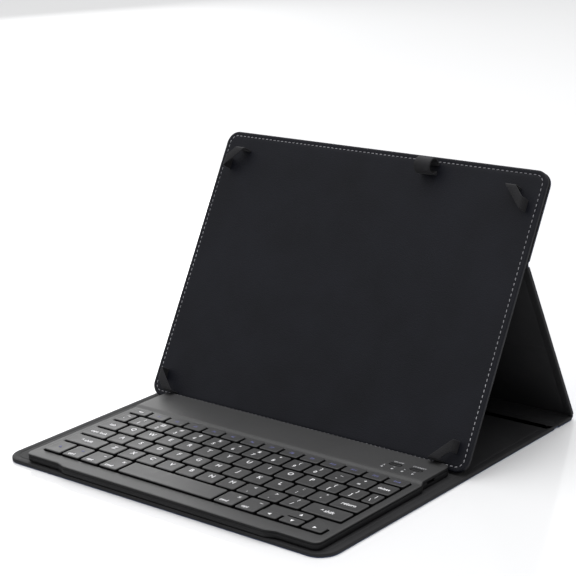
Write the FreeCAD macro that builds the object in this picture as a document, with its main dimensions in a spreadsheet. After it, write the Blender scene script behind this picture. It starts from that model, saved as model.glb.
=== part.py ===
import FreeCAD, Part
import math
import os

import Sketcher

# Tablet keyboard case, open in its typing position.
# Frame: +X to the user's right, +Y away from the user, +Z up.
# The origin is on the table, in the middle of the box that the whole case fills.

Vector = FreeCAD.Vector
Rotation = FreeCAD.Rotation
Placement = FreeCAD.Placement

doc = FreeCAD.newDocument("keyboard_case")
sheet = doc.addObject("Spreadsheet::Sheet", "Dims")

# Driving dimensions: millimetres, and degrees where the name says so.
DIMENSIONS = {
    # Whole case
    "skin_thickness": 0.7,
    "board_thickness": 1.3,
    "lining_thickness": 0.6,
    "rim_width": 1.6,
    "cover_corner_radius": 13.0,
    "cover_length": 243.8,
    "spine_width": 22.0,
    "leg_length": 133.0,
    "crease_half_gap": 2.6,
    "fold_half_gap": 2.2,
    "groove_below_fold": 72.0,
    "groove_width": 2.0,
    # Carrier that holds the tablet
    "fold_height": 138.0,
    "carrier_corner_radius": 9.0,
    "backing_thickness": 0.6,
    "stiffener_thickness": 1.6,
    "facing_thickness": 0.8,
    "panel_clearance": 0.3,
    "tablet_width": 248.0,
    "tablet_height": 179.0,
    "tablet_thickness": 7.2,
    "margin_side": 11.0,
    "margin_bottom": 5.5,
    "margin_top": 14.5,
    "strap_inner_reach": 14.0,
    "strap_outer_reach": 6.0,
    "strap_thickness": 0.9,
    "strap_clearance": 0.4,
    "slit_depth": 0.6,
    "slit_play": 0.2,
    "pen_radius": 4.8,
    "loop_wall": 1.0,
    "loop_width": 12.5,
    "loop_tab": 9.0,
    "loop_place": 45.5,
    "loop_below_top": 8.3,
    # Magnets
    "magnet_radius": 5.0,
    "magnet_thickness": 1.0,
    "magnet_pitch": 60.0,
    # Keyboard body
    "keyboard_shift": 5.3,
    "keyboard_front": 0.5,
    "lip_setback": 2.3,
    "lip_corner_width": 31.0,
    "lip_slope_width": 7.0,
    "port_recess": 2.0,
    "port_recess_length": 34.0,
    "shell_corner_radius": 5.0,
    "foot_height": 0.3,
    "foot_radius": 4.0,
    "case_height": 3.6,
    "case_floor": 0.9,
    "case_wall": 1.3,
    "deck_thickness": 1.6,
    "strip_rise": 0.9,
    "strip_gap": 2.4,
    "strip_depth": 32.6,
    "shell_clearance": 0.3,
    # Keys
    "key_pitch": 17.0,
    "row_pitch": 15.2,
    "key_gap": 1.8,
    "keys_front": 11.9,
    "front_row_depth": 18.6,
    "function_row_depth": 11.3,
    "field_border": 5.125,
    "well_margin": 0.4,
    "key_height": 2.4,
    "key_proud": 1.3,
    "key_wall": 0.9,
    "key_corner_radius": 1.5,
    "dome_radius": 2.6,
    "dome_play": 0.05,
    "plate_thickness": 0.4,
    "membrane_thickness": 0.3,
    # Keyboard electronics and controls
    "board_width": 92.0,
    "board_depth": 22.0,
    "circuit_thickness": 0.8,
    "standoff_height": 0.8,
    "standoff_radius": 2.0,
    "battery_gap": 34.0,
    "battery_play": 0.8,
    "battery_height": 3.0,
    "port_width": 9.0,
    "port_height": 3.0,
    "port_depth": 7.0,
    "port_wall": 0.4,
    "port_row": 11.0,
    "button_width": 9.0,
    "button_depth": 3.2,
    "button_play": 0.25,
    "button_row": 14.4,
    "power_inset": 31.3,
    "control_pitch": 15.8,
    "lamp_radius": 0.9,
    "lamp_row": 7.9,
    "lamp_inset": 37.3,
    "lamp_pitch": 7.8,
    "screw_radius": 1.1,
    "screw_head_radius": 2.0,
    "screw_head_height": 0.5,
}

# Sizes that follow from the driving ones.
FOLLOWING = {
    "case_width": "tablet_width + 2 * margin_side",
    "keys_rear": "keys_front + front_row_depth + 4 * row_pitch + function_row_depth",
    "strip_front": "keys_rear + strip_gap",
    "keyboard_width": "13.75 * key_pitch + 2 * field_border",
    "keyboard_depth": "strip_front + strip_depth",
}


def fill_sheet():
    """Write every dimension into the sheet, one row each, with its alias."""
    formulas = {alias: "=" + formula for alias, formula in FOLLOWING.items()}
    for row, (alias, content) in enumerate({**DIMENSIONS, **formulas}.items(), start=1):
        sheet.set(f"A{row}", alias)
        sheet.set(f"B{row}", str(content))
        sheet.setAlias(f"B{row}", alias)
    doc.recompute()


def value(expression):
    """Number that an expression of sheet aliases gives, such as 'case_width / 2'."""
    return float(sheet.evalExpression(bound(expression)))


def bound(expression):
    """The same expression with each alias written as a cell of the sheet."""
    words = []
    word = ""
    for letter in str(expression) + " ":
        if letter.isalnum() or letter == "_":
            word += letter
            continue
        known = word in DIMENSIONS or word in FOLLOWING
        words.append(f"Dims.{word}" if known else word)
        words.append(letter)
        word = ""
    return "".join(words).strip()


fill_sheet()

# Combined sizes, as expressions of the sheet.
PANEL = "(skin_thickness + board_thickness + lining_thickness)"
TAPE = "(lining_thickness + panel_clearance)"
CARRIER = "(backing_thickness + stiffener_thickness + facing_thickness)"
CARRIER_WIDTH = "(tablet_width + 2 * margin_side)"
CARRIER_LOW = "(-tablet_height / 2 - margin_bottom)"
CARRIER_HIGH = "(tablet_height / 2 + margin_top)"
SPINE_PLATE = "(spine_width - 2 * crease_half_gap)"
LEG_PLATE = "(leg_length - crease_half_gap - fold_half_gap)"
FIELD_WIDTH = "(keyboard_width - 2 * field_border)"
CASE_TOP = "(foot_height + case_height)"
DECK_TOP = "(foot_height + case_height + deck_thickness)"
STRIP_TOP = "(foot_height + case_height + deck_thickness + strip_rise)"
FLOOR_TOP = "(foot_height + case_floor)"
PLATE_TOP = "(foot_height + case_floor + plate_thickness)"
MEMBRANE_TOP = "(foot_height + case_floor + plate_thickness + membrane_thickness)"
KEY_TOP = "(foot_height + case_height + deck_thickness + key_proud)"
KEY_BOTTOM = f"({KEY_TOP} - key_height)"
PORT_LOW = f"({FLOOR_TOP} + standoff_height - port_wall)"
PORT_PLACE = "(strip_front + port_row)"
BUTTON_PLACE = "(strip_front + button_row)"


# ---------------------------------------------------------------- shared ways of building


def new_body(label):
    """An empty PartDesign body with its label."""
    body = doc.addObject("PartDesign::Body", label)
    body.Label = label
    return body


def origin_part(body, role):
    """One of the body's own origin planes or axes, found by its role."""
    return next(part for part in body.Origin.OriginFeatures if part.Role == role)


def spot(point):
    """The place that a pair of expressions gives."""
    return Vector(value(point[0]), value(point[1]), 0)


class Drawing:
    """Outlines for one sketch on an origin plane of a body, raised along its normal."""

    def __init__(self, body, name, lift="0", role="XY_Plane"):
        self.name = name
        self.sketch = body.newObject("Sketcher::SketchObject", name)
        self.sketch.AttachmentSupport = [(origin_part(body, role), "")]
        self.sketch.MapMode = "FlatFace"
        self.sketch.setExpression("AttachmentOffset.Base.z", bound(lift))
        self.geometry = []
        self.rules = []

    def tie(self, kind, places, number, expression):
        """Add a constraint whose number follows an expression."""
        name = f"size_{len(self.rules)}"
        self.rules.append((Sketcher.Constraint(kind, *places, number), name, expression))

    def tie_start(self, index, point):
        """Tie the start of one line or arc to a pair of expressions."""
        here = spot(point)
        self.tie("DistanceX", (-1, 1, index, 1), here.x, point[0])
        self.tie("DistanceY", (-1, 1, index, 1), here.y, point[1])

    def outline(self, points, rounded=(), radius="0"):
        """Add a closed outline, anticlockwise where it has rounded corners.

        Each point is a pair of expressions. A rounded corner joins two lines that run
        along the axes, and becomes an arc that touches both.
        """
        corners = [spot(point) for point in points]
        ends = []
        for i, point in enumerate(points):
            if point in rounded:
                neighbours = (corners[i - 1], corners[(i + 1) % len(points)])
                ends.append([toward(point, other, radius) for other in neighbours])
            else:
                ends.append([point])
        first = len(self.geometry)
        for i, here in enumerate(ends):
            if len(here) == 2:
                self.corner_arc(here, corners[i], radius)
            self.tie_start(len(self.geometry), here[-1])
            finish = ends[(i + 1) % len(ends)][0]
            self.geometry.append(Part.LineSegment(spot(here[-1]), spot(finish)))
        count = len(self.geometry) - first
        for step in range(count):
            joint = (first + step, 2, first + (step + 1) % count, 1)
            self.rules.append((Sketcher.Constraint("Coincident", *joint), None, None))

    def corner_arc(self, tangents, corner, radius):
        """Round a corner with an arc between its two tangent points."""
        start, finish = spot(tangents[0]), spot(tangents[1])
        centre = start + finish - corner
        middle = centre + (corner - centre).normalize() * value(radius)
        index = len(self.geometry)
        self.geometry.append(Part.Arc(start, middle, finish))
        self.tie_start(index, tangents[0])
        self.tie("Radius", (index,), value(radius), radius)

    def rectangle(self, edges, rounded=(), radius="0"):
        """Add a rectangle between its left, right, low and high edges."""
        left, right, low, high = edges
        self.outline([(left, low), (right, low), (right, high), (left, high)], rounded, radius)

    def circle(self, across, along, radius):
        """Add a circle with a bound centre and radius."""
        index = len(self.geometry)
        centre = spot((across, along))
        self.geometry.append(Part.Circle(centre, Vector(0, 0, 1), value(radius)))
        self.tie("DistanceX", (-1, 1, index, 3), centre.x, across)
        self.tie("DistanceY", (-1, 1, index, 3), centre.y, along)
        self.tie("Radius", (index,), value(radius), radius)

    def finish(self):
        """Put everything into the sketch at once and return it."""
        self.sketch.addGeometry(self.geometry, False)
        indices = self.sketch.addConstraint([rule for rule, _, _ in self.rules])
        for index, (_, name, expression) in zip(indices, self.rules):
            if name:
                self.sketch.renameConstraint(index, name)
                self.sketch.setExpression("Constraints." + name, bound(expression))
        self.sketch.Visibility = False
        return self.sketch


def toward(point, other, distance):
    """The point moved by a distance, along its axis-aligned line, towards another place."""
    across, along = point
    step = other - spot(point)
    if abs(step.x) > abs(step.y):
        return (f"{across} + {round(math.copysign(1, step.x))} * ({distance})", along)
    return (across, f"{along} + {round(math.copysign(1, step.y))} * ({distance})")


def pad(body, drawing, length, midplane=False):
    """Raise a drawing into a solid of a bound length."""
    feature = body.newObject("PartDesign::Pad", drawing.name + "_pad")
    feature.Profile = drawing.finish()
    feature.setExpression("Length", bound(length))
    feature.Midplane = midplane
    doc.recompute()
    return feature


def pocket(body, drawing, depth, upward=False):
    """Cut a drawing into the body, down its normal or up it, and make sure that it cut."""
    before = body.Shape.Volume
    feature = body.newObject("PartDesign::Pocket", drawing.name + "_pocket")
    feature.Profile = drawing.finish()
    feature.setExpression("Length", bound(depth))
    feature.Reversed = upward
    doc.recompute()
    if body.Shape.Volume >= before:
        raise ValueError(f"{body.Label}: {drawing.name} cuts nothing")
    return feature


def repeat(body, features, count, step):
    """Repeat features side by side across the case at an even step."""
    pattern = body.newObject("PartDesign::LinearPattern", features[0].Name + "_run")
    pattern.Originals = features
    pattern.Direction = (origin_part(body, "X_Axis"), [""])
    pattern.Occurrences = count
    pattern.setExpression("Length", bound(f"{count - 1} * ({step})"))
    body.Tip = pattern
    doc.recompute()


def plate(label, edges, lift, thickness, corners=(), radius="0"):
    """A flat sheet or board: left, right, low and high edges, with some rounded corners."""
    body = new_body(label)
    sketch = Drawing(body, label + "_outline", lift)
    sketch.rectangle(edges, corners, radius)
    pad(body, sketch, thickness)
    return body


# ---------------------------------------------------------------- where the panels stand


def solve_rest_pose():
    """Angles of the leg and the carrier in the typing position.

    The carrier's lower back edge stands on the front cover just behind the keyboard. The
    fold, the rear crease and that edge make a triangle with known sides.
    """
    panel = value(PANEL)
    rear_y = value("cover_length + crease_half_gap + spine_width")
    rear_z = panel / 2
    heel_y = value(f"keyboard_front + keyboard_depth + shell_clearance + {CARRIER}")
    heel_z = panel + value("panel_clearance")
    behind = panel / 2 + value("panel_clearance")
    height = value("fold_height")
    leg = value("leg_length")
    reach = math.hypot(height, behind)
    span = math.hypot(rear_y - heel_y, rear_z - heel_z)
    apex = math.acos((reach**2 + span**2 - leg**2) / (2 * reach * span))
    slope = math.atan2(rear_z - heel_z, rear_y - heel_y)
    carrier = apex + slope + math.atan2(behind, height)
    fold_y = heel_y + height * math.cos(carrier) + behind * math.sin(carrier)
    fold_z = heel_z + height * math.sin(carrier) - behind * math.cos(carrier)
    return {
        "carrier": math.degrees(carrier),
        "leg": math.degrees(math.atan2(fold_z - rear_z, fold_y - rear_y)),
        "rear": (rear_y, rear_z),
        "fold": (fold_y, fold_z),
        "heel": (heel_y, heel_z),
    }


REST = solve_rest_pose()
REAR_BEND = REST["leg"]
FOLD_BEND = REST["leg"] - REST["carrier"]


def bend_radius(half_gap, bend):
    """Radius of the middle of a panel where it turns by bend between two half gaps."""
    return value(half_gap) / math.tan(math.radians(bend) / 2)


REAR_BULGE = bend_radius("crease_half_gap", REAR_BEND) + value(f"{PANEL} / 2 - crease_half_gap")
CASE_DEPTH = REST["rear"][0] + REAR_BULGE


def place(y, z, tilt=0.0, x=0.0):
    """Placement in the case: y from the cover's front edge, z above the table, tilt about +X."""
    return Placement(Vector(x, y - CASE_DEPTH / 2, z), Rotation(Vector(1, 0, 0), tilt))


def on_panel(pivot, tilt, along, across):
    """Placement of a flat piece on a tilted panel, along it and out of it from a pivot."""
    angle = math.radians(tilt)
    y = pivot[0] + along * math.cos(angle) - across * math.sin(angle)
    z = pivot[1] + along * math.sin(angle) + across * math.cos(angle)
    return place(y, z, tilt)


COVER_PLACE = place(0, 0)
SPINE_PLACE = place(value("cover_length + 2 * crease_half_gap"), 0)
LEG_PLACE = on_panel(REST["rear"], REST["leg"], value("crease_half_gap"), -value(PANEL) / 2)
CARRIER_PLACE = on_panel(REST["heel"], REST["carrier"], -value(CARRIER_LOW), 0)
KEYBOARD_PLACE = place(value("keyboard_front"), value(PANEL), x=value("keyboard_shift"))


# ---------------------------------------------------------------- covered panels


def panel_edges(length, inset="0"):
    """Left, right, low and high edges of a full-width panel, drawn in by an inset."""
    return (
        f"-case_width / 2 + {inset}",
        f"case_width / 2 - {inset}",
        inset,
        f"{length} - {inset}",
    )


def front_corners(edges):
    left, right, low, _ = edges
    return [(left, low), (right, low)]


def rear_corners(edges):
    left, right, _, high = edges
    return [(left, high), (right, high)]


def no_corners(edges):
    """Corner choice for a panel that is square all round."""
    return []


def covered_skin(label, length, wells, rounded=no_corners, radius="0"):
    """Outer skin: a sheet with a turned-up rim, and a well for each board."""
    edges = panel_edges(length)
    body = plate(label, edges, "0", "skin_thickness + board_thickness", rounded(edges), radius)
    sketch = Drawing(body, label + "_wells", "skin_thickness + board_thickness")
    for well in wells:
        sketch.rectangle(well, rounded(well), f"{radius} - rim_width")
    pocket(body, sketch, "board_thickness")
    return body


def make_front_cover():
    """Front cover that lies on the table and carries the keyboard."""
    outline = panel_edges("cover_length")
    well = panel_edges("cover_length", "rim_width")
    skin = covered_skin(
        "front_cover_skin", "cover_length", [well], front_corners, "cover_corner_radius"
    )
    board = plate(
        "front_cover_board", well, "skin_thickness", "board_thickness",
        front_corners(well), "cover_corner_radius - rim_width",
    )
    magnet_sockets(board, "skin_thickness + board_thickness", cover_magnet_places())
    lining = plate(
        "front_cover_lining", outline, "skin_thickness + board_thickness", "lining_thickness",
        front_corners(outline), "cover_corner_radius",
    )
    magnets = new_body("cover_magnets")
    sketch = Drawing(
        magnets, "cover_magnet_discs", "skin_thickness + board_thickness - magnet_thickness"
    )
    for across, along in cover_magnet_places():
        sketch.circle(across, along, "magnet_radius")
    pad(magnets, sketch, "magnet_thickness")
    for body in (skin, board, lining, magnets):
        body.Placement = COVER_PLACE


def cover_magnet_places():
    """Centres of the magnets in the front cover that hold the keyboard down."""
    row = "keyboard_front + strip_front + board_depth / 2"
    return [(f"keyboard_shift + {step} * magnet_pitch", row) for step in (-1.5, -0.5, 0.5, 1.5)]


def magnet_sockets(body, lift, places):
    """Round sockets that take the magnets."""
    sketch = Drawing(body, body.Name + "_sockets", lift)
    for across, along in places:
        sketch.circle(across, along, "magnet_radius")
    pocket(body, sketch, "magnet_thickness")


def make_spine():
    """Narrow panel between the front cover and the leg."""
    well = panel_edges(SPINE_PLATE, "rim_width")
    pieces = [
        covered_skin("spine_skin", SPINE_PLATE, [well]),
        plate("spine_board", well, "skin_thickness", "board_thickness"),
        plate(
            "spine_lining", panel_edges(SPINE_PLATE),
            "skin_thickness + board_thickness", "lining_thickness",
        ),
    ]
    for body in pieces:
        body.Placement = SPINE_PLACE


def leg_wells():
    """Two wells in the leg, one each side of the pressed groove."""
    left, right, low, high = panel_edges(LEG_PLATE, "rim_width")
    groove = "(leg_length - crease_half_gap - groove_below_fold)"
    return [
        (left, right, low, f"{groove} - groove_width / 2"),
        (left, right, f"{groove} + groove_width / 2", high),
    ]


def make_leg():
    """Lower part of the back cover, the leg that holds the carrier up."""
    boards = new_body("leg_boards")
    sketch = Drawing(boards, "leg_boards_outline", "skin_thickness")
    for well in leg_wells():
        sketch.rectangle(well)
    pad(boards, sketch, "board_thickness")
    pieces = [
        covered_skin("leg_skin", LEG_PLATE, leg_wells()),
        boards,
        plate(
            "leg_lining", panel_edges(LEG_PLATE),
            "skin_thickness + board_thickness", "lining_thickness",
        ),
    ]
    for body in pieces:
        body.Placement = LEG_PLACE


def make_upper_back():
    """Upper part of the back cover, taped to the back of the carrier."""
    length = "(tablet_height + margin_bottom + margin_top - fold_height - fold_half_gap)"
    well = panel_edges(length, "rim_width")
    pieces = [
        covered_skin("upper_back_skin", length, [well], rear_corners, "carrier_corner_radius"),
        plate(
            "upper_back_board", well, "skin_thickness", "board_thickness",
            rear_corners(well), "carrier_corner_radius - rim_width",
        ),
        plate(
            "mounting_tape", well, "skin_thickness + board_thickness", TAPE,
            rear_corners(well), "carrier_corner_radius - rim_width",
        ),
    ]
    depth = value(f"skin_thickness + board_thickness + {TAPE}")
    along = value("fold_height + fold_half_gap")
    for body in pieces:
        body.Placement = on_panel(REST["heel"], REST["carrier"], along, -depth)


def bent_strip(label, outer, inner, bend, placement):
    """Flexible strip of a crease: a sector of a tube that lies across the case."""
    tube = doc.addObject("Part::Cylinder", label + "_outside")
    core = doc.addObject("Part::Cylinder", label + "_inside")
    for cylinder, radius in ((tube, outer), (core, inner)):
        cylinder.Radius = radius
        cylinder.setExpression("Height", bound("case_width"))
        cylinder.Placement = Placement(
            Vector(-value("case_width") / 2, 0, 0), Rotation(Vector(0, 1, 0), 90)
        )
    tube.Angle = bend
    strip = doc.addObject("Part::Cut", label)
    strip.Label = label
    strip.Base = tube
    strip.Tool = core
    strip.Placement = placement
    doc.recompute()
    return strip


def make_creases():
    """The three flexible creases, which have no board in them."""
    thickness = value("skin_thickness + lining_thickness")
    flat = plate(
        "spine_crease", panel_edges("2 * crease_half_gap"), "0", "skin_thickness + lining_thickness"
    )
    flat.Placement = place(value("cover_length"), 0)
    half = value(PANEL) / 2
    rear_middle = bend_radius("crease_half_gap", REAR_BEND)
    rear_y = REST["rear"][0] - value("crease_half_gap")
    bent_strip(
        "rear_crease", rear_middle + half, rear_middle + half - thickness, REAR_BEND,
        place(rear_y, half + rear_middle),
    )
    fold_middle = bend_radius("fold_half_gap", FOLD_BEND)
    start = on_panel(REST["fold"], REST["leg"], -value("fold_half_gap"), -fold_middle)
    bent_strip(
        "fold_crease", fold_middle - half + thickness, fold_middle - half, FOLD_BEND,
        Placement(start.Base, Rotation(Vector(1, 0, 0), REST["carrier"] + 180)),
    )


# ---------------------------------------------------------------- carrier


def carrier_edges(inset="0"):
    """Edges of the carrier about the middle of the tablet space, drawn in by an inset."""
    return (
        f"-{CARRIER_WIDTH} / 2 + {inset}",
        f"{CARRIER_WIDTH} / 2 - {inset}",
        f"{CARRIER_LOW} + {inset}",
        f"{CARRIER_HIGH} - {inset}",
    )


def four_corners(edges):
    return front_corners(edges) + rear_corners(edges)


def make_carrier():
    """Stiff panel with a leather facing that the tablet is strapped to."""
    edges = carrier_edges()
    well = carrier_edges("rim_width")
    radius = "carrier_corner_radius"
    backing = plate(
        "carrier_backing", edges, "0", "backing_thickness", four_corners(edges), radius
    )
    board = plate(
        "carrier_board", well, "backing_thickness", "stiffener_thickness",
        four_corners(well), f"{radius} - rim_width",
    )
    facing = plate(
        "carrier_facing", edges, "backing_thickness", "stiffener_thickness + facing_thickness",
        four_corners(edges), radius,
    )
    sketch = Drawing(facing, "carrier_facing_well", "backing_thickness")
    sketch.rectangle(well, four_corners(well), f"{radius} - rim_width")
    pocket(facing, sketch, "stiffener_thickness", upward=True)
    slits = Drawing(facing, "strap_slits", CARRIER)
    for side, level in STRAP_CORNERS.values():
        add_strap_slits(slits, side, level)
    pocket(facing, slits, "slit_depth")
    for body in (backing, board, facing):
        body.Placement = CARRIER_PLACE


STRAP_CORNERS = {
    "corner_strap_top_left": (-1, 1),
    "corner_strap_top_right": (1, 1),
    "corner_strap_bottom_left": (-1, -1),
    "corner_strap_bottom_right": (1, -1),
}
STRAP_OUT = "(strap_clearance + strap_thickness)"


def tablet_corner(side, level, inward, upward):
    """A point near one corner of the tablet, given by how far it lies inside each edge."""
    return (
        f"{side} * (tablet_width / 2 - ({inward}))",
        f"{level} * (tablet_height / 2 - ({upward}))",
    )


def add_strap_slits(sketch, side, level):
    """Two slits beside a corner of the tablet, where the strap goes through the facing."""
    near = "strap_outer_reach - strap_thickness - slit_play"
    far = "strap_inner_reach + slit_play"
    inner = "-strap_clearance + slit_play"
    outer = f"-{STRAP_OUT} - slit_play"
    for along_edge in (True, False):
        spans = [(near, inner), (far, inner), (far, outer), (near, outer)]
        if not along_edge:
            spans = [(across, along) for along, across in spans]
        sketch.outline([tablet_corner(side, level, *span) for span in spans])


def make_corner_straps():
    """Four elastic bands, each over one corner of the tablet."""
    for label, (side, level) in STRAP_CORNERS.items():
        body = new_body(label)
        band = Drawing(body, label + "_band", f"{CARRIER} - slit_depth")
        out = f"-{STRAP_OUT}"
        footprint = [
            ("strap_inner_reach", out),
            ("strap_outer_reach", out),
            (out, "strap_outer_reach"),
            (out, "strap_inner_reach"),
        ]
        band.outline([tablet_corner(side, level, *point) for point in footprint])
        pad(body, band, "slit_depth + tablet_thickness + strap_clearance + strap_thickness")
        room = Drawing(body, label + "_room", f"{CARRIER} - slit_depth")
        reach = "2 * strap_inner_reach"
        edge = "-strap_clearance"
        hollow = [(edge, edge), (reach, edge), (reach, reach), (edge, reach)]
        room.outline([tablet_corner(side, level, *point) for point in hollow])
        pocket(body, room, "slit_depth + tablet_thickness + strap_clearance", upward=True)
        body.Placement = CARRIER_PLACE


def make_pen_loop():
    """Elastic loop for a stylus, sewn on in the margin above the tablet."""
    body = new_body("pen_loop")
    middle = "(tablet_height / 2 + margin_top - loop_below_top)"
    centre = f"{CARRIER} + pen_radius + loop_wall"
    ring = Drawing(body, "pen_loop_ring", "loop_place", role="YZ_Plane")
    ring.circle(middle, centre, "pen_radius + loop_wall")
    pad(body, ring, "loop_width", midplane=True)
    tab = Drawing(body, "pen_loop_tab", CARRIER)
    edges = (
        "loop_place - loop_width / 2", "loop_place + loop_width / 2",
        f"{middle} - loop_tab / 2", f"{middle} + loop_tab / 2",
    )
    tab.rectangle(edges)
    pad(body, tab, "loop_wall")
    hole = Drawing(body, "pen_loop_hole", "loop_place + loop_width / 2", role="YZ_Plane")
    hole.circle(middle, centre, "pen_radius")
    pocket(body, hole, "loop_width")
    body.Placement = CARRIER_PLACE


# ---------------------------------------------------------------- keyboard shells


def shell_outline(inset="0"):
    """Plan of the keyboard: a front lip, set back at both corners, and a port recess."""
    half = f"(keyboard_width / 2 - {inset})"
    flat = f"(keyboard_width / 2 - lip_corner_width - {inset} / 2)"
    lip = f"({flat} - lip_slope_width)"
    recess = f"(keyboard_depth - port_recess_length - {inset})"
    rear = f"keyboard_depth - {inset}"
    front = f"lip_setback + {inset}"
    return [
        (f"-{half}", front),
        (f"-{flat}", front),
        (f"-{lip}", inset),
        (lip, inset),
        (flat, front),
        (half, front),
        (half, recess),
        (f"{half} - port_recess", f"{recess} + 2 * port_recess"),
        (f"{half} - port_recess", rear),
        (f"-{half}", rear),
    ]


def outer_corners(outline):
    """The four big corners of the keyboard's plan."""
    return [outline[0], outline[5], outline[8], outline[9]]


def screw_places():
    """Screws through the bottom case into the deck."""
    across = "(keyboard_width / 2 - case_wall - port_recess - 3.5)"
    rows = ["keys_front - 4.2", "strip_front + 2.5", "keyboard_depth - case_wall - 4.5"]
    return [(f"{side} * {across}", row) for row in rows[1:] for side in (-1, 1)] + [
        (f"{side} * keyboard_width / 4", rows[0]) for side in (-1, 1)
    ]


def standoff_places():
    """Feet of the circuit board on the case floor."""
    return [
        (f"{across} + {side} * (board_width / 2 - 3)", along)
        for across, along in [circuit_middle()]
        for side in (-1, 1)
    ]


def circuit_middle():
    """Middle of the circuit board, under the controls."""
    return (
        "(keyboard_width / 2 - case_wall - port_recess - port_depth - board_width / 2)",
        "(keyboard_depth - case_wall - board_depth / 2 - 2)",
    )


def make_bottom_case():
    """Bottom shell of the keyboard, open at the top."""
    body = new_body("keyboard_bottom_case")
    sketch = Drawing(body, "bottom_case_outline", "foot_height")
    outline = shell_outline()
    sketch.outline(outline, outer_corners(outline), "shell_corner_radius")
    pad(body, sketch, "case_height")
    inside = Drawing(body, "bottom_case_inside", CASE_TOP)
    inner = shell_outline("case_wall")
    inside.outline(inner, outer_corners(inner), "shell_corner_radius - case_wall")
    pocket(body, inside, "case_height - case_floor")
    feet = Drawing(body, "circuit_standoffs", FLOOR_TOP)
    for across, along in standoff_places():
        feet.circle(across, along, "standoff_radius")
    pad(body, feet, "standoff_height")
    bosses = Drawing(body, "screw_bosses", FLOOR_TOP)
    for across, along in screw_places():
        bosses.circle(across, along, "screw_head_radius + case_wall / 2")
    pad(body, bosses, "case_height - case_floor")
    drill_screw_holes(body, "foot_height", "case_height")
    port = Drawing(body, "port_window", CASE_TOP)
    port.rectangle(port_window())
    pocket(body, port, f"{CASE_TOP} - {PORT_LOW}")
    body.Placement = KEYBOARD_PLACE


def port_window():
    """Edges of the room that the charging port takes in the right wall."""
    wall = "keyboard_width / 2 - port_recess"
    return (
        f"{wall} - port_depth - shell_clearance", f"{wall} + shell_clearance",
        f"{PORT_PLACE} - port_width / 2", f"{PORT_PLACE} + port_width / 2",
    )


def drill_screw_holes(body, lift, depth):
    """Clearance holes for the screws, with a counterbore for each head."""
    holes = Drawing(body, body.Name + "_screw_holes", lift)
    heads = Drawing(body, body.Name + "_screw_heads", lift)
    for across, along in screw_places():
        holes.circle(across, along, "screw_radius")
        heads.circle(across, along, "screw_head_radius")
    pocket(body, holes, depth, upward=True)
    pocket(body, heads, "screw_head_height", upward=True)


def make_deck():
    """Top shell of the keyboard, with one well for the keys and a raised rear strip."""
    body = new_body("keyboard_deck")
    sketch = Drawing(body, "deck_outline", CASE_TOP)
    outline = shell_outline()
    corners = outer_corners(outline)
    sketch.outline(outline, corners, "shell_corner_radius")
    pad(body, sketch, "deck_thickness")
    strip = Drawing(body, "deck_strip", DECK_TOP)
    rear = [
        (outline[0][0], "strip_front"), (outline[7][0], "strip_front"), outline[8], outline[9],
    ]
    strip.outline(rear, corners, "shell_corner_radius")
    pad(body, strip, "strip_rise")
    well = Drawing(body, "key_well", DECK_TOP)
    well.outline(well_outline())
    pocket(body, well, "deck_thickness")
    underside = Drawing(body, "deck_hollow", CASE_TOP)
    edges = (
        "-keyboard_width / 2 + 8 * case_wall", "keyboard_width / 2 - 8 * case_wall",
        "strip_front + 4 * case_wall", "keyboard_depth - 2 * case_wall",
    )
    underside.rectangle(edges)
    pocket(body, underside, "strip_rise", upward=True)
    port = Drawing(body, "port_room", CASE_TOP)
    port.rectangle(port_window())
    pocket(body, port, f"{PORT_LOW} + port_height + shell_clearance / 2 - {CASE_TOP}", upward=True)
    drill_threads(body)
    windows = Drawing(body, "control_windows", STRIP_TOP)
    for across in control_places():
        edges = button_edges(across, "button_play")
        windows.rectangle(edges, four_corners(edges), "button_depth / 2.2 + button_play")
    for across in lamp_places():
        windows.circle(across, "strip_front + lamp_row", "lamp_radius")
    pocket(body, windows, "strip_rise + deck_thickness")
    body.Placement = KEYBOARD_PLACE


def drill_threads(body):
    """Blind holes in the deck's underside that the screws hold in."""
    threads = Drawing(body, "deck_threads", CASE_TOP)
    for across, along in screw_places():
        threads.circle(across, along, "screw_radius")
    pocket(body, threads, "deck_thickness / 2", upward=True)


# ---------------------------------------------------------------- key layout

ROW_UNITS = {
    "front": [1, 1, 1, 1, 4.75, 1, 1, 1, 1, 1],
    "lower": [1.85] + [1] * 10 + [1.9],
    "home": [1.375] + [1] * 11 + [1.375],
    "upper": [1.1] + [1] * 12 + [0.65],
    "number": [0.75] + [1] * 13,
}
ROW_ORDER = ["front", "lower", "home", "upper", "number"]
FUNCTION_KEYS = 14

# Keys with a node of their own: row and place in it.
SINGLE_KEYS = {
    "space_key": ("front", 4),
    "left_shift_key": ("lower", 0),
    "right_shift_key": ("lower", 11),
    "caps_key": ("home", 0),
    "return_key": ("home", 12),
    "tab_key": ("upper", 0),
    "delete_key": ("number", 13),
    "escape_key": ("function", 0),
}

# Keys that share a node: runs of equal caps, each by row, first place and count.
SHARED_KEYS = {
    "modifier_keys": [("front", 0, 4), ("front", 5, 2)],
    "lower_letter_keys": [("lower", 1, 10)],
    "home_letter_keys": [("home", 1, 11)],
    "upper_letter_keys": [("upper", 1, 12), ("upper", 13, 1)],
    "number_keys": [("number", 0, 1), ("number", 1, 12)],
    "function_keys": [("function", 1, 13)],
}
ARROW_COLUMN = 8


def row_front(row):
    """Front line of a row of keys."""
    steps = ROW_ORDER.index(row)
    if steps == 0:
        return "keys_front"
    return f"(keys_front + front_row_depth + {steps - 1} * row_pitch)"


def key_step(row):
    """Distance from one key to the next in a run of equal ones."""
    return f"({FIELD_WIDTH} / {FUNCTION_KEYS})" if row == "function" else "key_pitch"


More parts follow.
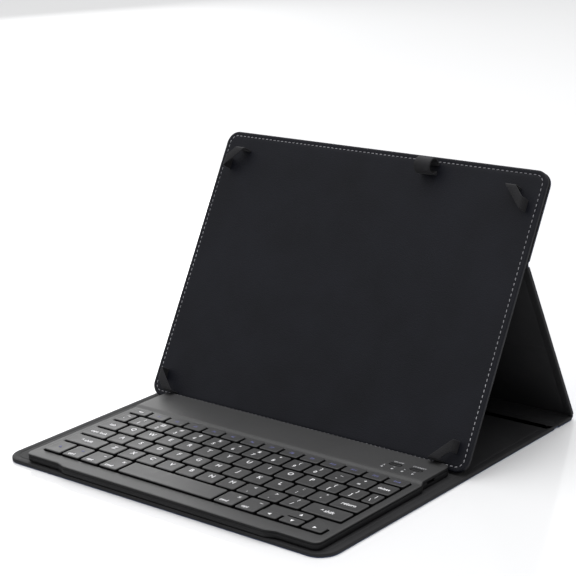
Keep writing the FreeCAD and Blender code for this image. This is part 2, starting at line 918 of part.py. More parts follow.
def key_edges(row, place_in_row):
    """Left, right, low and high edges of one key cap, gaps left out."""
    if row == "function":
        width = key_step(row)
        start = f"(-{FIELD_WIDTH} / 2 + {place_in_row} * {width})"
        low = f"(keys_front + front_row_depth + {len(ROW_ORDER) - 1} * row_pitch)"
        depth = "function_row_depth"
        end = f"({start} + {width})"
    else:
        units = ROW_UNITS[row]
        start = f"(-{FIELD_WIDTH} / 2 + {sum(units[:place_in_row])} * key_pitch)"
        end = f"({start} + {units[place_in_row]} * key_pitch)"
        low = row_front(row)
        depth = "front_row_depth" if row == "front" else "row_pitch"
    gap = "key_gap / 2"
    return [f"{start} + {gap}", f"{end} - {gap}", f"{low} + {gap}", f"{low} + {depth} - {gap}"]


def arrow_edges(place_in_row, upper):
    """Edges of a half-height arrow key."""
    left, right, low, high = key_edges("front", place_in_row)
    middle = "keys_front + front_row_depth / 2"
    if upper:
        return [left, right, f"{middle} + key_gap / 4", high]
    return [left, right, low, f"{middle} - key_gap / 4"]


def well_outline():
    """Outline of the key well, with the deck kept beside the upper arrow key."""
    margin = "(key_gap / 2 - well_margin)"
    left, right, low, high = (
        f"-{FIELD_WIDTH} / 2 + {margin}", f"{FIELD_WIDTH} / 2 - {margin}",
        f"keys_front + {margin}",
        f"keys_rear - {margin}",
    )
    step = "keys_front + front_row_depth / 2 - key_gap / 4 + well_margin"
    shelf = f"keys_front + front_row_depth + {margin}"
    arrow = key_edges("front", ARROW_COLUMN)
    notch = f"({arrow[1]} + well_margin)"
    return [
        (left, low), (right, low), (right, step), (notch, step),
        (notch, shelf), (right, shelf), (right, high), (left, high),
    ]


def layout():
    """Runs of equal key caps by node: edges of the first cap, how many, and their step."""
    nodes = {name: [(key_edges(*where), 1, "0")] for name, where in SINGLE_KEYS.items()}
    for name, runs in SHARED_KEYS.items():
        nodes[name] = [
            (key_edges(row, first), count, key_step(row)) for row, first, count in runs
        ]
    arrows = {
        "left_arrow_key": (ARROW_COLUMN - 1, False),
        "down_arrow_key": (ARROW_COLUMN, False),
        "up_arrow_key": (ARROW_COLUMN, True),
        "right_arrow_key": (ARROW_COLUMN + 1, False),
    }
    for name, where in arrows.items():
        nodes[name] = [(arrow_edges(*where), 1, "0")]
    return nodes


def make_keys():
    """Key caps, hollow from below, each single key or row of keys in its own body."""
    for node, runs in layout().items():
        body = new_body(node)
        for number, (edges, count, step) in enumerate(runs):
            top = Drawing(body, f"{node}_top_{number}", KEY_BOTTOM)
            top.rectangle(edges, four_corners(edges), "key_corner_radius")
            cap = pad(body, top, "key_height")
            left, right, low, high = edges
            hollow = Drawing(body, f"{node}_hollow_{number}", KEY_BOTTOM)
            inside = (
                f"{left} + key_wall", f"{right} - key_wall",
                f"{low} + key_wall", f"{high} - key_wall",
            )
            hollow.rectangle(inside)
            room = pocket(body, hollow, "key_height - key_wall", upward=True)
            if count > 1:
                repeat(body, [cap, room], count, step)
        body.Placement = KEYBOARD_PLACE


# ---------------------------------------------------------------- under the keys


def make_key_support():
    """Steel support plate, contact membrane and a rubber dome under every key."""
    edges = (f"-{FIELD_WIDTH} / 2", f"{FIELD_WIDTH} / 2", "keys_front - 1", "keys_rear")
    support = plate("support_plate", edges, FLOOR_TOP, "plate_thickness")
    membrane = plate("contact_membrane", edges, PLATE_TOP, "membrane_thickness")
    domes = new_body("key_domes")
    for node, runs in layout().items():
        for number, ((left, right, low, high), count, step) in enumerate(runs):
            foot = Drawing(domes, f"{node}_dome_{number}", MEMBRANE_TOP)
            foot.circle(f"({left} + {right}) / 2", f"({low} + {high}) / 2", "dome_radius")
            dome = pad(domes, foot, f"{KEY_TOP} - key_wall - {MEMBRANE_TOP} - dome_play")
            if count > 1:
                repeat(domes, [dome], count, step)
    for body in (support, membrane, domes):
        body.Placement = KEYBOARD_PLACE


def make_electronics():
    """Circuit board, battery, charging port and indicator lenses."""
    across, along = circuit_middle()
    board = plate(
        "keyboard_circuit_board",
        (
            f"{across} - board_width / 2", f"{across} + board_width / 2",
            f"{along} - board_depth / 2", f"{along} + board_depth / 2",
        ),
        f"{FLOOR_TOP} + standoff_height", "circuit_thickness",
    )
    battery_left = "(-keyboard_width / 2 + 9 * case_wall)"
    battery = plate(
        "keyboard_battery",
        (
            battery_left, f"{across} - board_width / 2 - battery_gap",
            "strip_front + 4 * case_wall + battery_play", "keyboard_depth - 2 * case_wall",
        ),
        FLOOR_TOP, "battery_height",
    )
    port = new_body("charging_port")
    middle = f"({PORT_LOW} + port_height / 2)"
    wall = "(keyboard_width / 2 - port_recess)"
    shell = Drawing(port, "port_shell", f"{wall} - port_depth", role="YZ_Plane")
    half = "(port_width / 2 - shell_clearance / 2)"
    edges = (
        f"{PORT_PLACE} - {half}", f"{PORT_PLACE} + {half}",
        f"{middle} - port_height / 2", f"{middle} + port_height / 2",
    )
    shell.rectangle(edges)
    pad(port, shell, "port_depth - shell_clearance")
    mouth = Drawing(port, "port_mouth", f"{wall} - shell_clearance", role="YZ_Plane")
    edges = (
        f"{PORT_PLACE} - {half} + port_wall", f"{PORT_PLACE} + {half} - port_wall",
        f"{middle} - port_height / 2 + port_wall", f"{middle} + port_height / 2 - port_wall",
    )
    mouth.rectangle(edges)
    pocket(port, mouth, "port_depth - 3 * port_wall")
    lenses = new_body("indicator_lenses")
    sketch = Drawing(lenses, "lens_discs", f"{CASE_TOP} + strip_rise")
    for place_across in lamp_places():
        sketch.circle(place_across, "strip_front + lamp_row", "lamp_radius")
    pad(lenses, sketch, "deck_thickness")
    for body in (board, battery, port, lenses):
        body.Placement = KEYBOARD_PLACE


def control_places():
    """Across places of the power and connect buttons, in the keyboard's own frame."""
    power = "keyboard_width / 2 - power_inset"
    return [f"({power})", f"({power} + control_pitch)"]


def lamp_places():
    """Across places of the four indicator lamps."""
    first = "keyboard_width / 2 - lamp_inset"
    return [f"({first} + {step} * lamp_pitch)" for step in range(4)]


def button_edges(across, play="0"):
    """Edges of a control button, or of its window with some play."""
    return (
        f"{across} - button_width / 2 - {play}", f"{across} + button_width / 2 + {play}",
        f"{BUTTON_PLACE} - button_depth / 2 - {play}", f"{BUTTON_PLACE} + button_depth / 2 + {play}",
    )


def make_controls():
    """Power and connect buttons in the raised strip."""
    for label, across in zip(("power_button", "connect_button"), control_places()):
        body = new_body(label)
        sketch = Drawing(body, label + "_cap", f"{CASE_TOP} + 0.2")
        edges = button_edges(across)
        sketch.rectangle(edges, four_corners(edges), "button_depth / 2.2")
        pad(body, sketch, f"{STRIP_TOP} - {CASE_TOP} - 0.2 + 0.4")
        body.Placement = KEYBOARD_PLACE


def make_fasteners():
    """Screws and stick-on feet of the keyboard."""
    screws = new_body("case_screws")
    heads = Drawing(screws, "screw_head_discs", "foot_height")
    for across, along in screw_places():
        heads.circle(across, along, "screw_head_radius")
    pad(screws, heads, "screw_head_height")
    shanks = Drawing(screws, "screw_shanks", "foot_height")
    for across, along in screw_places():
        shanks.circle(across, along, "screw_radius")
    pad(screws, shanks, "case_height + deck_thickness / 2")
    feet = new_body("keyboard_feet")
    pads = Drawing(feet, "foot_discs")
    inset = "(shell_corner_radius + foot_radius)"
    for side in (-1, 1):
        for along in (f"lip_setback + {inset}", f"keyboard_depth - {inset}"):
            pads.circle(f"{side} * (keyboard_width / 2 - {inset})", along, "foot_radius")
    pad(feet, pads, "foot_height")
    for body in (screws, feet):
        body.Placement = KEYBOARD_PLACE


# ---------------------------------------------------------------- build, check and write


def check_document():
    """Stop if any object failed, or any piece is empty or not valid."""
    doc.recompute()
    for item in doc.Objects:
        if "Invalid" in item.State or "Error" in item.State:
            raise ValueError(f"{item.Label} failed: {item.State}")
    for piece in pieces():
        if piece.Shape.isNull() or not piece.Shape.isValid() or not piece.Shape.Solids:
            raise ValueError(f"{piece.Label} has no valid solid")


def pieces():
    """Every finished piece of the case."""
    return [
        item for item in doc.Objects
        if item.TypeId in ("PartDesign::Body", "Part::Cut")
    ]


def write_parts():
    """One STEP file for each piece."""
    os.makedirs("parts", exist_ok=True)
    for piece in pieces():
        piece.Shape.exportStep(f"parts/{piece.Label}.step")


make_front_cover()
make_spine()
make_leg()
make_upper_back()
make_creases()
make_carrier()
make_corner_straps()
make_pen_loop()
make_bottom_case()
make_deck()
make_keys()
make_key_support()
make_electronics()
make_controls()
make_fasteners()
check_document()
write_parts()
print(len(pieces()), "pieces")
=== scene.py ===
import sys
import logging
import math
from dataclasses import dataclass
from enum import Enum
from random import Random
from typing import Callable, Iterable, Sequence

import bmesh
import bpy
from mathutils import Matrix, Vector
from mathutils.geometry import tessellate_polygon


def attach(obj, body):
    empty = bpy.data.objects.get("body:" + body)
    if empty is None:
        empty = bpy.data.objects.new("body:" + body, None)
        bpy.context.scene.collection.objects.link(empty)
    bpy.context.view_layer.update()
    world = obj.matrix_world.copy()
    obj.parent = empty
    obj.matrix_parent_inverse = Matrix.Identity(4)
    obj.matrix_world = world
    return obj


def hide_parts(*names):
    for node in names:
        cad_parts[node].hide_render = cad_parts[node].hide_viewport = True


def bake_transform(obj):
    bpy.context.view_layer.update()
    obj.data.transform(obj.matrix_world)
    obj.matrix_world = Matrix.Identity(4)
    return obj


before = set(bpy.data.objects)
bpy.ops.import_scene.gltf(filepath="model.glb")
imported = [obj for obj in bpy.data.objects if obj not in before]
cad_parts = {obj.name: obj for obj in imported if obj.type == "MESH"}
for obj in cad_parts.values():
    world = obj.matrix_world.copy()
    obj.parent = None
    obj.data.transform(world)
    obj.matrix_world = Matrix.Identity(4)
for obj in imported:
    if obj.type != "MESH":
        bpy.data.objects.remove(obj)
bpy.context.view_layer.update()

LOG = logging.getLogger("keyboard_case")
MM = 0.001
SHARP = 38.0
UNITS_ACROSS = 13.75
RUB_FINENESS = 2.0
JOINT_EDGE = 0.03
Pair = tuple[float, float]
Loop = list[Pair]
Profile = list[Pair]
Verts = list[bmesh.types.BMVert]
Tree = bpy.types.NodeTree
Socket = bpy.types.NodeSocket


# ------------------------------------------------------------------ plans and sections


def rounded(points: Loop, radii: Sequence[float], steps: int = 6) -> Loop:
    """Round the corners of a polygon.

    Args:
        points: Corners, anticlockwise, in millimetres.
        radii: Radius of each corner, 0 for a sharp one.
        steps: Pieces in each arc.

    Returns:
        The rounded outline.
    """
    made: Loop = []
    for i, (corner, radius) in enumerate(zip(points, radii)):
        here = Vector(corner)
        if radius <= 0:
            made.append(corner)
            continue
        before = (Vector(points[i - 1]) - here).normalized()
        after = (Vector(points[(i + 1) % len(points)]) - here).normalized()
        half = before.angle(after) / 2
        centre = here + (before + after).normalized() * radius / math.sin(half)
        start = here + before * radius / math.tan(half) - centre
        finish = here + after * radius / math.tan(half) - centre
        turn = start.angle_signed(finish)
        for step in range(steps + 1):
            arm = start.copy()
            arm.rotate(Matrix.Rotation(-turn * step / steps, 2))
            made.append(tuple(centre + arm))
    return made


def box_outline(left: float, right: float, low: float, high: float) -> Loop:
    """Corners of an upright rectangle, anticlockwise."""
    return [(left, low), (right, low), (right, high), (left, high)]


def rounded_box(edges: Sequence[float], radius: float, steps: int) -> Loop:
    """Round all the corners of a rectangle, given as left, right, low and high."""
    return rounded(box_outline(*edges), [radius] * 4, steps)


def circle(middle: Sequence[float], radius: float, count: int = 20) -> Loop:
    """Points round a circle, anticlockwise.

    Args:
        middle: Its middle.
        radius: Its radius.
        count: How many points.

    Returns:
        The outline.
    """
    return [
        (middle[0] + radius * math.cos(a), middle[1] + radius * math.sin(a))
        for a in (math.tau * k / count for k in range(count))
    ]


def drawn_in(loop: Loop, distance: float) -> Loop:
    """Move every side of an anticlockwise outline inwards.

    Args:
        loop: The outline.
        distance: How far, in millimetres; below 0 moves it outwards.

    Returns:
        An outline with as many points.
    """
    made: Loop = []
    count = len(loop)
    for i in range(count):
        here = Vector(loop[i])
        back = (here - Vector(loop[i - 1])).normalized()
        ahead = (Vector(loop[(i + 1) % count]) - here).normalized()
        first, second = Vector((-back.y, back.x)), Vector((-ahead.y, ahead.x))
        miter = (first + second) / max(0.3, 1 + first.dot(second))
        made.append(tuple(here + miter * distance))
    return made


def edge_profile(
    low: float, high: float, low_edge: float, high_edge: float, steps: int = 4
) -> Profile:
    """Insets and heights of a plate whose lower and upper edges are rounded.

    Args:
        low: Height of the underside.
        high: Height of the top.
        low_edge: Radius of the lower edge.
        high_edge: Radius of the upper edge.
        steps: Pieces in each rounding.

    Returns:
        Pairs of inset and height, from the underside to the top.
    """
    margin = 0.5
    made: Profile = [(low_edge + margin, low)]
    for step in range(steps + 1):
        angle = math.pi / 2 * step / steps
        made.append((low_edge * (1 - math.sin(angle)), low + low_edge * (1 - math.cos(angle))))
    for step in range(steps + 1):
        angle = math.pi / 2 * step / steps
        made.append((high_edge * (1 - math.cos(angle)), high - high_edge * (1 - math.sin(angle))))
    made.append((high_edge + margin, high))
    return made


def smooth_step(value: float) -> float:
    """Ease from 0 to 1 as the value goes from 0 to 1."""
    clipped = min(1.0, max(0.0, value))
    return clipped * clipped * (3 - 2 * clipped)


# ------------------------------------------------------------------ mesh work


class Sculpt:
    """A mesh in the making, in millimetres, in the frame of one panel."""

    def __init__(self) -> None:
        """Start with nothing."""
        self.mesh = bmesh.new()

    def row(self, points: Iterable[Sequence[float]]) -> Verts:
        """Add points and return their vertices."""
        return [self.mesh.verts.new(point) for point in points]

    def ring(self, loop: Loop, height: float) -> Verts:
        """Add an outline at one height and return its vertices."""
        return self.row((x, y, height) for x, y in loop)

    def rings(self, loop: Loop, profile: Profile) -> list[Verts]:
        """Add an outline once for every inset and height, and return the rings."""
        return [self.ring(drawn_in(loop, inset), height) for inset, height in profile]

    def face(self, corners: Verts) -> None:
        """Add one face, unless its corners already have one."""
        if len(set(corners)) >= 3 and not self.mesh.faces.get(corners):
            self.mesh.faces.new(corners)

    def wall(self, first: Verts, second: Verts, closed: bool = True) -> None:
        """Join two rings, or two rows, with a band of faces.

        Args:
            first: Vertices of one ring.
            second: As many vertices of the next.
            closed: Whether the last point joins the first.
        """
        count = len(first)
        for i in range(count if closed else count - 1):
            j = (i + 1) % count
            self.face([first[i], first[j], second[j], second[i]])

    def walls(self, rings: Sequence[Verts], closed: bool = True) -> None:
        """Join rings, or rows, one after another."""
        for first, second in zip(rings, rings[1:]):
            self.wall(first, second, closed)

    def cap(self, ring: Verts, holes: Sequence[Verts] = ()) -> None:
        """Close a ring with flat faces, around any holes.

        Args:
            ring: Vertices of the outer ring.
            holes: Vertices of each hole.
        """
        if not holes:
            self.face(ring)
            return
        rings = [ring, *holes]
        flat = [vert for one in rings for vert in one]
        lines = [[Vector((v.co.x, v.co.y, 0)) for v in one] for one in rings]
        for triangle in tessellate_polygon(lines):
            self.face([flat[i] for i in triangle])

    def tube(self, rings: Sequence[Verts]) -> None:
        """Join rings one after another and close both ends.

        Args:
            rings: The rings, in order.
        """
        self.walls(rings)
        self.cap(rings[0])
        self.cap(rings[-1])

    def loft(self, loop: Loop, profile: Profile) -> None:
        """Raise an outline through pairs of inset and height, closed at both ends."""
        self.tube(self.rings(loop, profile))

    def absorb(self, mesh: bpy.types.Mesh, matrix: Matrix) -> None:
        """Take in another mesh and delete it.

        Args:
            mesh: The other mesh.
            matrix: How it is moved first.
        """
        mesh.transform(matrix)
        self.mesh.from_mesh(mesh)
        bpy.data.meshes.remove(mesh)

    def piece(
        self, name: str, material: bpy.types.Material, matrix: Matrix, sharp: float = SHARP
    ) -> bpy.types.Object:
        """Finish the mesh as an object of the scene.

        Args:
            name: Name of the piece.
            material: Its material.
            matrix: Placement of the panel's frame, millimetres to metres included.
            sharp: Angle in degrees above which an edge stays sharp.

        Returns:
            The new object.
        """
        bmesh.ops.remove_doubles(self.mesh, verts=self.mesh.verts, dist=1e-4)
        bmesh.ops.recalc_face_normals(self.mesh, faces=self.mesh.faces)
        self.mesh.transform(matrix)
        data = bpy.data.meshes.new(name)
        self.mesh.to_mesh(data)
        self.mesh.free()
        data.shade_smooth()
        data.set_sharp_from_angle(angle=math.radians(sharp))
        data.materials.append(material)
        made = bpy.data.objects.new(name, data)
        bpy.context.scene.collection.objects.link(made)
        return made


def fit(piece: bpy.types.Object, body: str, nodes: Sequence[str] = ()) -> None:
    """Make a piece ride on a body, and hide the frame nodes that it stands for.

    Args:
        piece: The piece.
        body: Name of the body.
        nodes: Frame nodes that it replaces.
    """
    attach(piece, body)
    finish_fit(piece, nodes, body)


def finish_fit(piece: bpy.types.Object, nodes: Sequence[str], where: str) -> None:
    """Hide the frame nodes that a placed piece stands for, and log it.

    Args:
        piece: The piece.
        nodes: Frame nodes that it replaces.
        where: What it rides on, for the report.
    """
    if nodes:
        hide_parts(*nodes)
    LOG.info("%s rides on %s, %d faces", piece.name, where, len(piece.data.polygons))


def carve(piece: bpy.types.Object, cutter: bpy.types.Object) -> None:
    """Cut one closed mesh out of another for good.

    Args:
        piece: The mesh that is cut.
        cutter: The mesh that is taken away and then deleted.
    """
    cut = piece.modifiers.new("cut", "BOOLEAN")
    cut.operation = "DIFFERENCE"
    cut.solver = "EXACT"
    cut.object = cutter
    bpy.context.view_layer.update()
    graph = bpy.context.evaluated_depsgraph_get()
    made = bpy.data.meshes.new_from_object(piece.evaluated_get(graph))
    piece.modifiers.clear()
    old = piece.data
    piece.data = made
    made.name = piece.name
    bpy.data.meshes.remove(old)
    bpy.data.meshes.remove(cutter.data)


def paint_side_shade(piece: bpy.types.Object, material: bpy.types.Material) -> None:
    """Give the steep faces of a level piece a darker finish of their own, as painted shade.

    Args:
        piece: The piece.
        material: Darker finish of its walls, painted shade.
    """
    steep = 0.55
    piece.data.materials.append(material)
    for polygon in piece.data.polygons:
        if abs(polygon.normal.z) < steep:
            polygon.material_index = 1


# ------------------------------------------------------------------ shared shader effects


class Effect(Enum):
    """Shader node groups that several finishes share."""

    PEBBLE = "Pebbled grain"
    MOTTLE = "Soft mottling"
    WEAVE = "Knitted weave"
    RUB = "Rubbed patches"
    SPECKLE = "Moulded texture"


class Effects:
    """Builds each shared node group once."""

    def __init__(self) -> None:
        """Build every group."""
        self.trees = {
            Effect.PEBBLE: self.pebble(),
            Effect.MOTTLE: self.mottle(),
            Effect.WEAVE: self.weave(),
            Effect.RUB: self.rub(),
            Effect.SPECKLE: self.speckle(),
        }

    def start(
        self, effect: Effect, values: dict[str, float], outputs: Sequence[str]
    ) -> tuple[Tree, bpy.types.Node, bpy.types.Node]:
        """Make an empty group with a vector input, some numbers and value outputs.

        Args:
            effect: Which group.
            values: Names and first values of the number inputs.
            outputs: Names of the value outputs.

        Returns:
            The tree, its input node and its output node.
        """
        tree = bpy.data.node_groups.new(effect.value, "ShaderNodeTree")
        tree.interface.new_socket(name="Vector", in_out="INPUT", socket_type="NodeSocketVector")
        for name, value in values.items():
            socket = tree.interface.new_socket(
                name=name, in_out="INPUT", socket_type="NodeSocketFloat"
            )
            socket.default_value = value
        for name in outputs:
            tree.interface.new_socket(name=name, in_out="OUTPUT", socket_type="NodeSocketFloat")
        return tree, tree.nodes.new("NodeGroupInput"), tree.nodes.new("NodeGroupOutput")

    def math_node(
        self, tree: Tree, operation: str, first: Socket | float, second: Socket | float
    ) -> Socket:
        """Add a Math node.

        Args:
            tree: The group.
            operation: The node's operation.
            first: A socket or a number.
            second: A socket or a number.

        Returns:
            The node's output.
        """
        node = tree.nodes.new("ShaderNodeMath")
        node.operation = operation
        for place, value in enumerate((first, second)):
            if isinstance(value, (int, float)):
                node.inputs[place].default_value = value
            else:
                tree.links.new(value, node.inputs[place])
        return node.outputs[0]

    def noise(self, tree: Tree, vector: Socket, scale: Socket, detail: float) -> Socket:
        """Add a Noise Texture node.

        Args:
            tree: The group.
            vector: Socket of the vector.
            scale: Socket of the scale.
            detail: Levels of detail.

        Returns:
            Its value output.
        """
        node = tree.nodes.new("ShaderNodeTexNoise")
        node.inputs["Detail"].default_value = detail
        tree.links.new(vector, node.inputs["Vector"])
        tree.links.new(scale, node.inputs["Scale"])
        return node.outputs[0]

    def pebble(self) -> Tree:
        """Leather grain: rounded pebbles with creases between them.

        Returns:
            The group.
        """
        tree, given, result = self.start(Effect.PEBBLE, {"Scale": 900.0}, ("Height",))
        cells = tree.nodes.new("ShaderNodeTexVoronoi")
        cells.feature = "SMOOTH_F1"
        cells.inputs["Smoothness"].default_value = 0.35
        tree.links.new(given.outputs["Vector"], cells.inputs["Vector"])
        tree.links.new(given.outputs["Scale"], cells.inputs["Scale"])
        rise = self.math_node(tree, "SUBTRACT", 1.0, cells.outputs["Distance"])
        fine = self.math_node(tree, "MULTIPLY", given.outputs["Scale"], 2.3)
        grit = self.noise(tree, given.outputs["Vector"], fine, 3.0)
        small = self.math_node(tree, "MULTIPLY", grit, 0.35)
        tree.links.new(self.math_node(tree, "ADD", rise, small), result.inputs["Height"])
        return tree

    def mottle(self) -> Tree:
        """Slow changes of tone over a surface.

        Returns:
            The group.
        """
        tree, given, result = self.start(
            Effect.MOTTLE, {"Scale": 25.0, "Contrast": 1.0}, ("Mask",)
        )
        cloud = self.noise(tree, given.outputs["Vector"], given.outputs["Scale"], 4.0)
        offset = self.math_node(tree, "SUBTRACT", cloud, 0.5)
        strong = self.math_node(tree, "MULTIPLY", offset, given.outputs["Contrast"])
        moved = self.math_node(tree, "ADD", strong, 0.5)
        tree.links.new(moved, result.inputs["Mask"])
        return tree

    def weave(self) -> Tree:
        """Ribs of knitted elastic or the nap of a lining.

        Returns:
            The group.
        """
        tree, given, result = self.start(Effect.WEAVE, {"Scale": 900.0}, ("Height",))
        heights = []
        for direction in ("X", "Y", "Z"):
            wave = tree.nodes.new("ShaderNodeTexWave")
            wave.bands_direction = direction
            wave.inputs["Distortion"].default_value = 0.6
            tree.links.new(given.outputs["Vector"], wave.inputs["Vector"])
            tree.links.new(given.outputs["Scale"], wave.inputs["Scale"])
            heights.append(wave.outputs["Fac"])
        total = self.math_node(tree, "ADD", heights[0], heights[1])
        every = self.math_node(tree, "ADD", total, heights[2])
        tree.links.new(self.math_node(tree, "MULTIPLY", every, 0.33), result.inputs["Height"])
        return tree

    def rub(self) -> Tree:
        """Patches where hands polish a surface.

        Returns:
            The group.
        """
        tree, given, result = self.start(
            Effect.RUB, {"Scale": 60.0, "Amount": 0.4}, ("Mask",)
        )
        cloud = self.noise(tree, given.outputs["Vector"], given.outputs["Scale"], 6.0)
        limit = self.math_node(tree, "SUBTRACT", 0.75, given.outputs["Amount"])
        above = self.math_node(tree, "SUBTRACT", cloud, limit)
        strong = self.math_node(tree, "MULTIPLY", above, 2.5)
        kept = self.math_node(tree, "MAXIMUM", strong, 0.0)
        tree.links.new(self.math_node(tree, "MINIMUM", kept, 1.0), result.inputs["Mask"])
        return tree

    def speckle(self) -> Tree:
        """Spark-eroded texture of moulded plastic.

        Returns:
            The group.
        """
        tree, given, result = self.start(Effect.SPECKLE, {"Scale": 2500.0}, ("Height",))
        grit = self.noise(tree, given.outputs["Vector"], given.outputs["Scale"], 2.0)
        coarse = self.math_node(tree, "MULTIPLY", given.outputs["Scale"], 0.3)
        wide = self.noise(tree, given.outputs["Vector"], coarse, 1.0)
        half = self.math_node(tree, "MULTIPLY", wide, 0.5)
        tree.links.new(self.math_node(tree, "ADD", grit, half), result.inputs["Height"])
        return tree


# ------------------------------------------------------------------ finishes


@dataclass(frozen=True)
class Finish:
    """One surface finish, from its colours down to its relief."""

    name: str
    base: tuple[float, float, float]
    worn: tuple[float, float, float]
    relief: Effect
    relief_scale: float
    relief_depth: float
    roughness: Pair = (0.5, 0.6)
    mottle_scale: float = 30.0
    mottle_contrast: float = 1.6
    rub_amount: float = 0.2
    metallic: float = 0.0
    specular: float = 0.5
    sheen: float = 0.0
    coat: float = 0.0

    def material(self, effects: Effects) -> bpy.types.Material:
        """Build the material.

        Args:
            effects: The shared node groups.

        Returns:
            A material with its own Principled shader.
        """
        made = bpy.data.materials.new(self.name)
        made.use_nodes = True
        tree = made.node_tree
        tree.nodes.clear()
        output = tree.nodes.new("ShaderNodeOutputMaterial")
        shader = tree.nodes.new("ShaderNodeBsdfPrincipled")
        tree.links.new(shader.outputs[0], output.inputs["Surface"])
        place = tree.nodes.new("ShaderNodeTexCoord").outputs["Object"]
        self.colour(tree, shader, effects, place)
        self.surface(tree, shader, effects, place)
        shader.inputs["Metallic"].default_value = self.metallic
        shader.inputs["Specular IOR Level"].default_value = self.specular
        shader.inputs["Sheen Weight"].default_value = self.sheen
        shader.inputs["Coat Weight"].default_value = self.coat
        made.diffuse_color = (*self.base, 1.0)
        return made

    def effect(
        self, tree: Tree, effects: Effects, kind: Effect, place: Socket, values: dict[str, float]
    ) -> bpy.types.Node:
        """Place one shared group in the material.

        Args:
            tree: The material's nodes.
            effects: The shared node groups.
            kind: Which group.
            place: Socket of the coordinates.
            values: This material's own values.

        Returns:
            The group node.
        """
        node = tree.nodes.new("ShaderNodeGroup")
        node.node_tree = effects.trees[kind]
        tree.links.new(place, node.inputs["Vector"])
        for name, value in values.items():
            node.inputs[name].default_value = value
        return node

    def colour(self, tree: Tree, shader: bpy.types.Node, effects: Effects, place: Socket) -> None:
        """Mix the base and worn colours over the surface.

        Args:
            tree: The material's nodes.
            shader: Its Principled shader.
            effects: The shared node groups.
            place: Socket of the coordinates.
        """
        cloud = self.effect(
            tree, effects, Effect.MOTTLE, place,
            {"Scale": self.mottle_scale, "Contrast": self.mottle_contrast},
        )
        mix = tree.nodes.new("ShaderNodeMix")
        mix.data_type = "RGBA"
        mix.inputs["A"].default_value = (*self.base, 1.0)
        mix.inputs["B"].default_value = (*self.worn, 1.0)
        tree.links.new(cloud.outputs["Mask"], mix.inputs["Factor"])
        tree.links.new(mix.outputs["Result"], shader.inputs["Base Color"])

    def surface(self, tree: Tree, shader: bpy.types.Node, effects: Effects, place: Socket) -> None:
        """Set the gloss and the relief.

        Args:
            tree: The material's nodes.
            shader: Its Principled shader.
            effects: The shared node groups.
            place: Socket of the coordinates.
        """
        rub = self.effect(
            tree, effects, Effect.RUB, place,
            {"Scale": self.mottle_scale * RUB_FINENESS, "Amount": self.rub_amount},
        )
        gloss = tree.nodes.new("ShaderNodeMapRange")
        gloss.inputs["To Min"].default_value = self.roughness[1]
        gloss.inputs["To Max"].default_value = self.roughness[0]
        tree.links.new(rub.outputs["Mask"], gloss.inputs["Value"])
        tree.links.new(gloss.outputs["Result"], shader.inputs["Roughness"])
        relief = self.effect(tree, effects, self.relief, place, {"Scale": self.relief_scale})
        bump = tree.nodes.new("ShaderNodeBump")
        bump.inputs["Distance"].default_value = self.relief_depth * MM
        tree.links.new(relief.outputs["Height"], bump.inputs["Height"])
        tree.links.new(bump.outputs["Normal"], shader.inputs["Normal"])


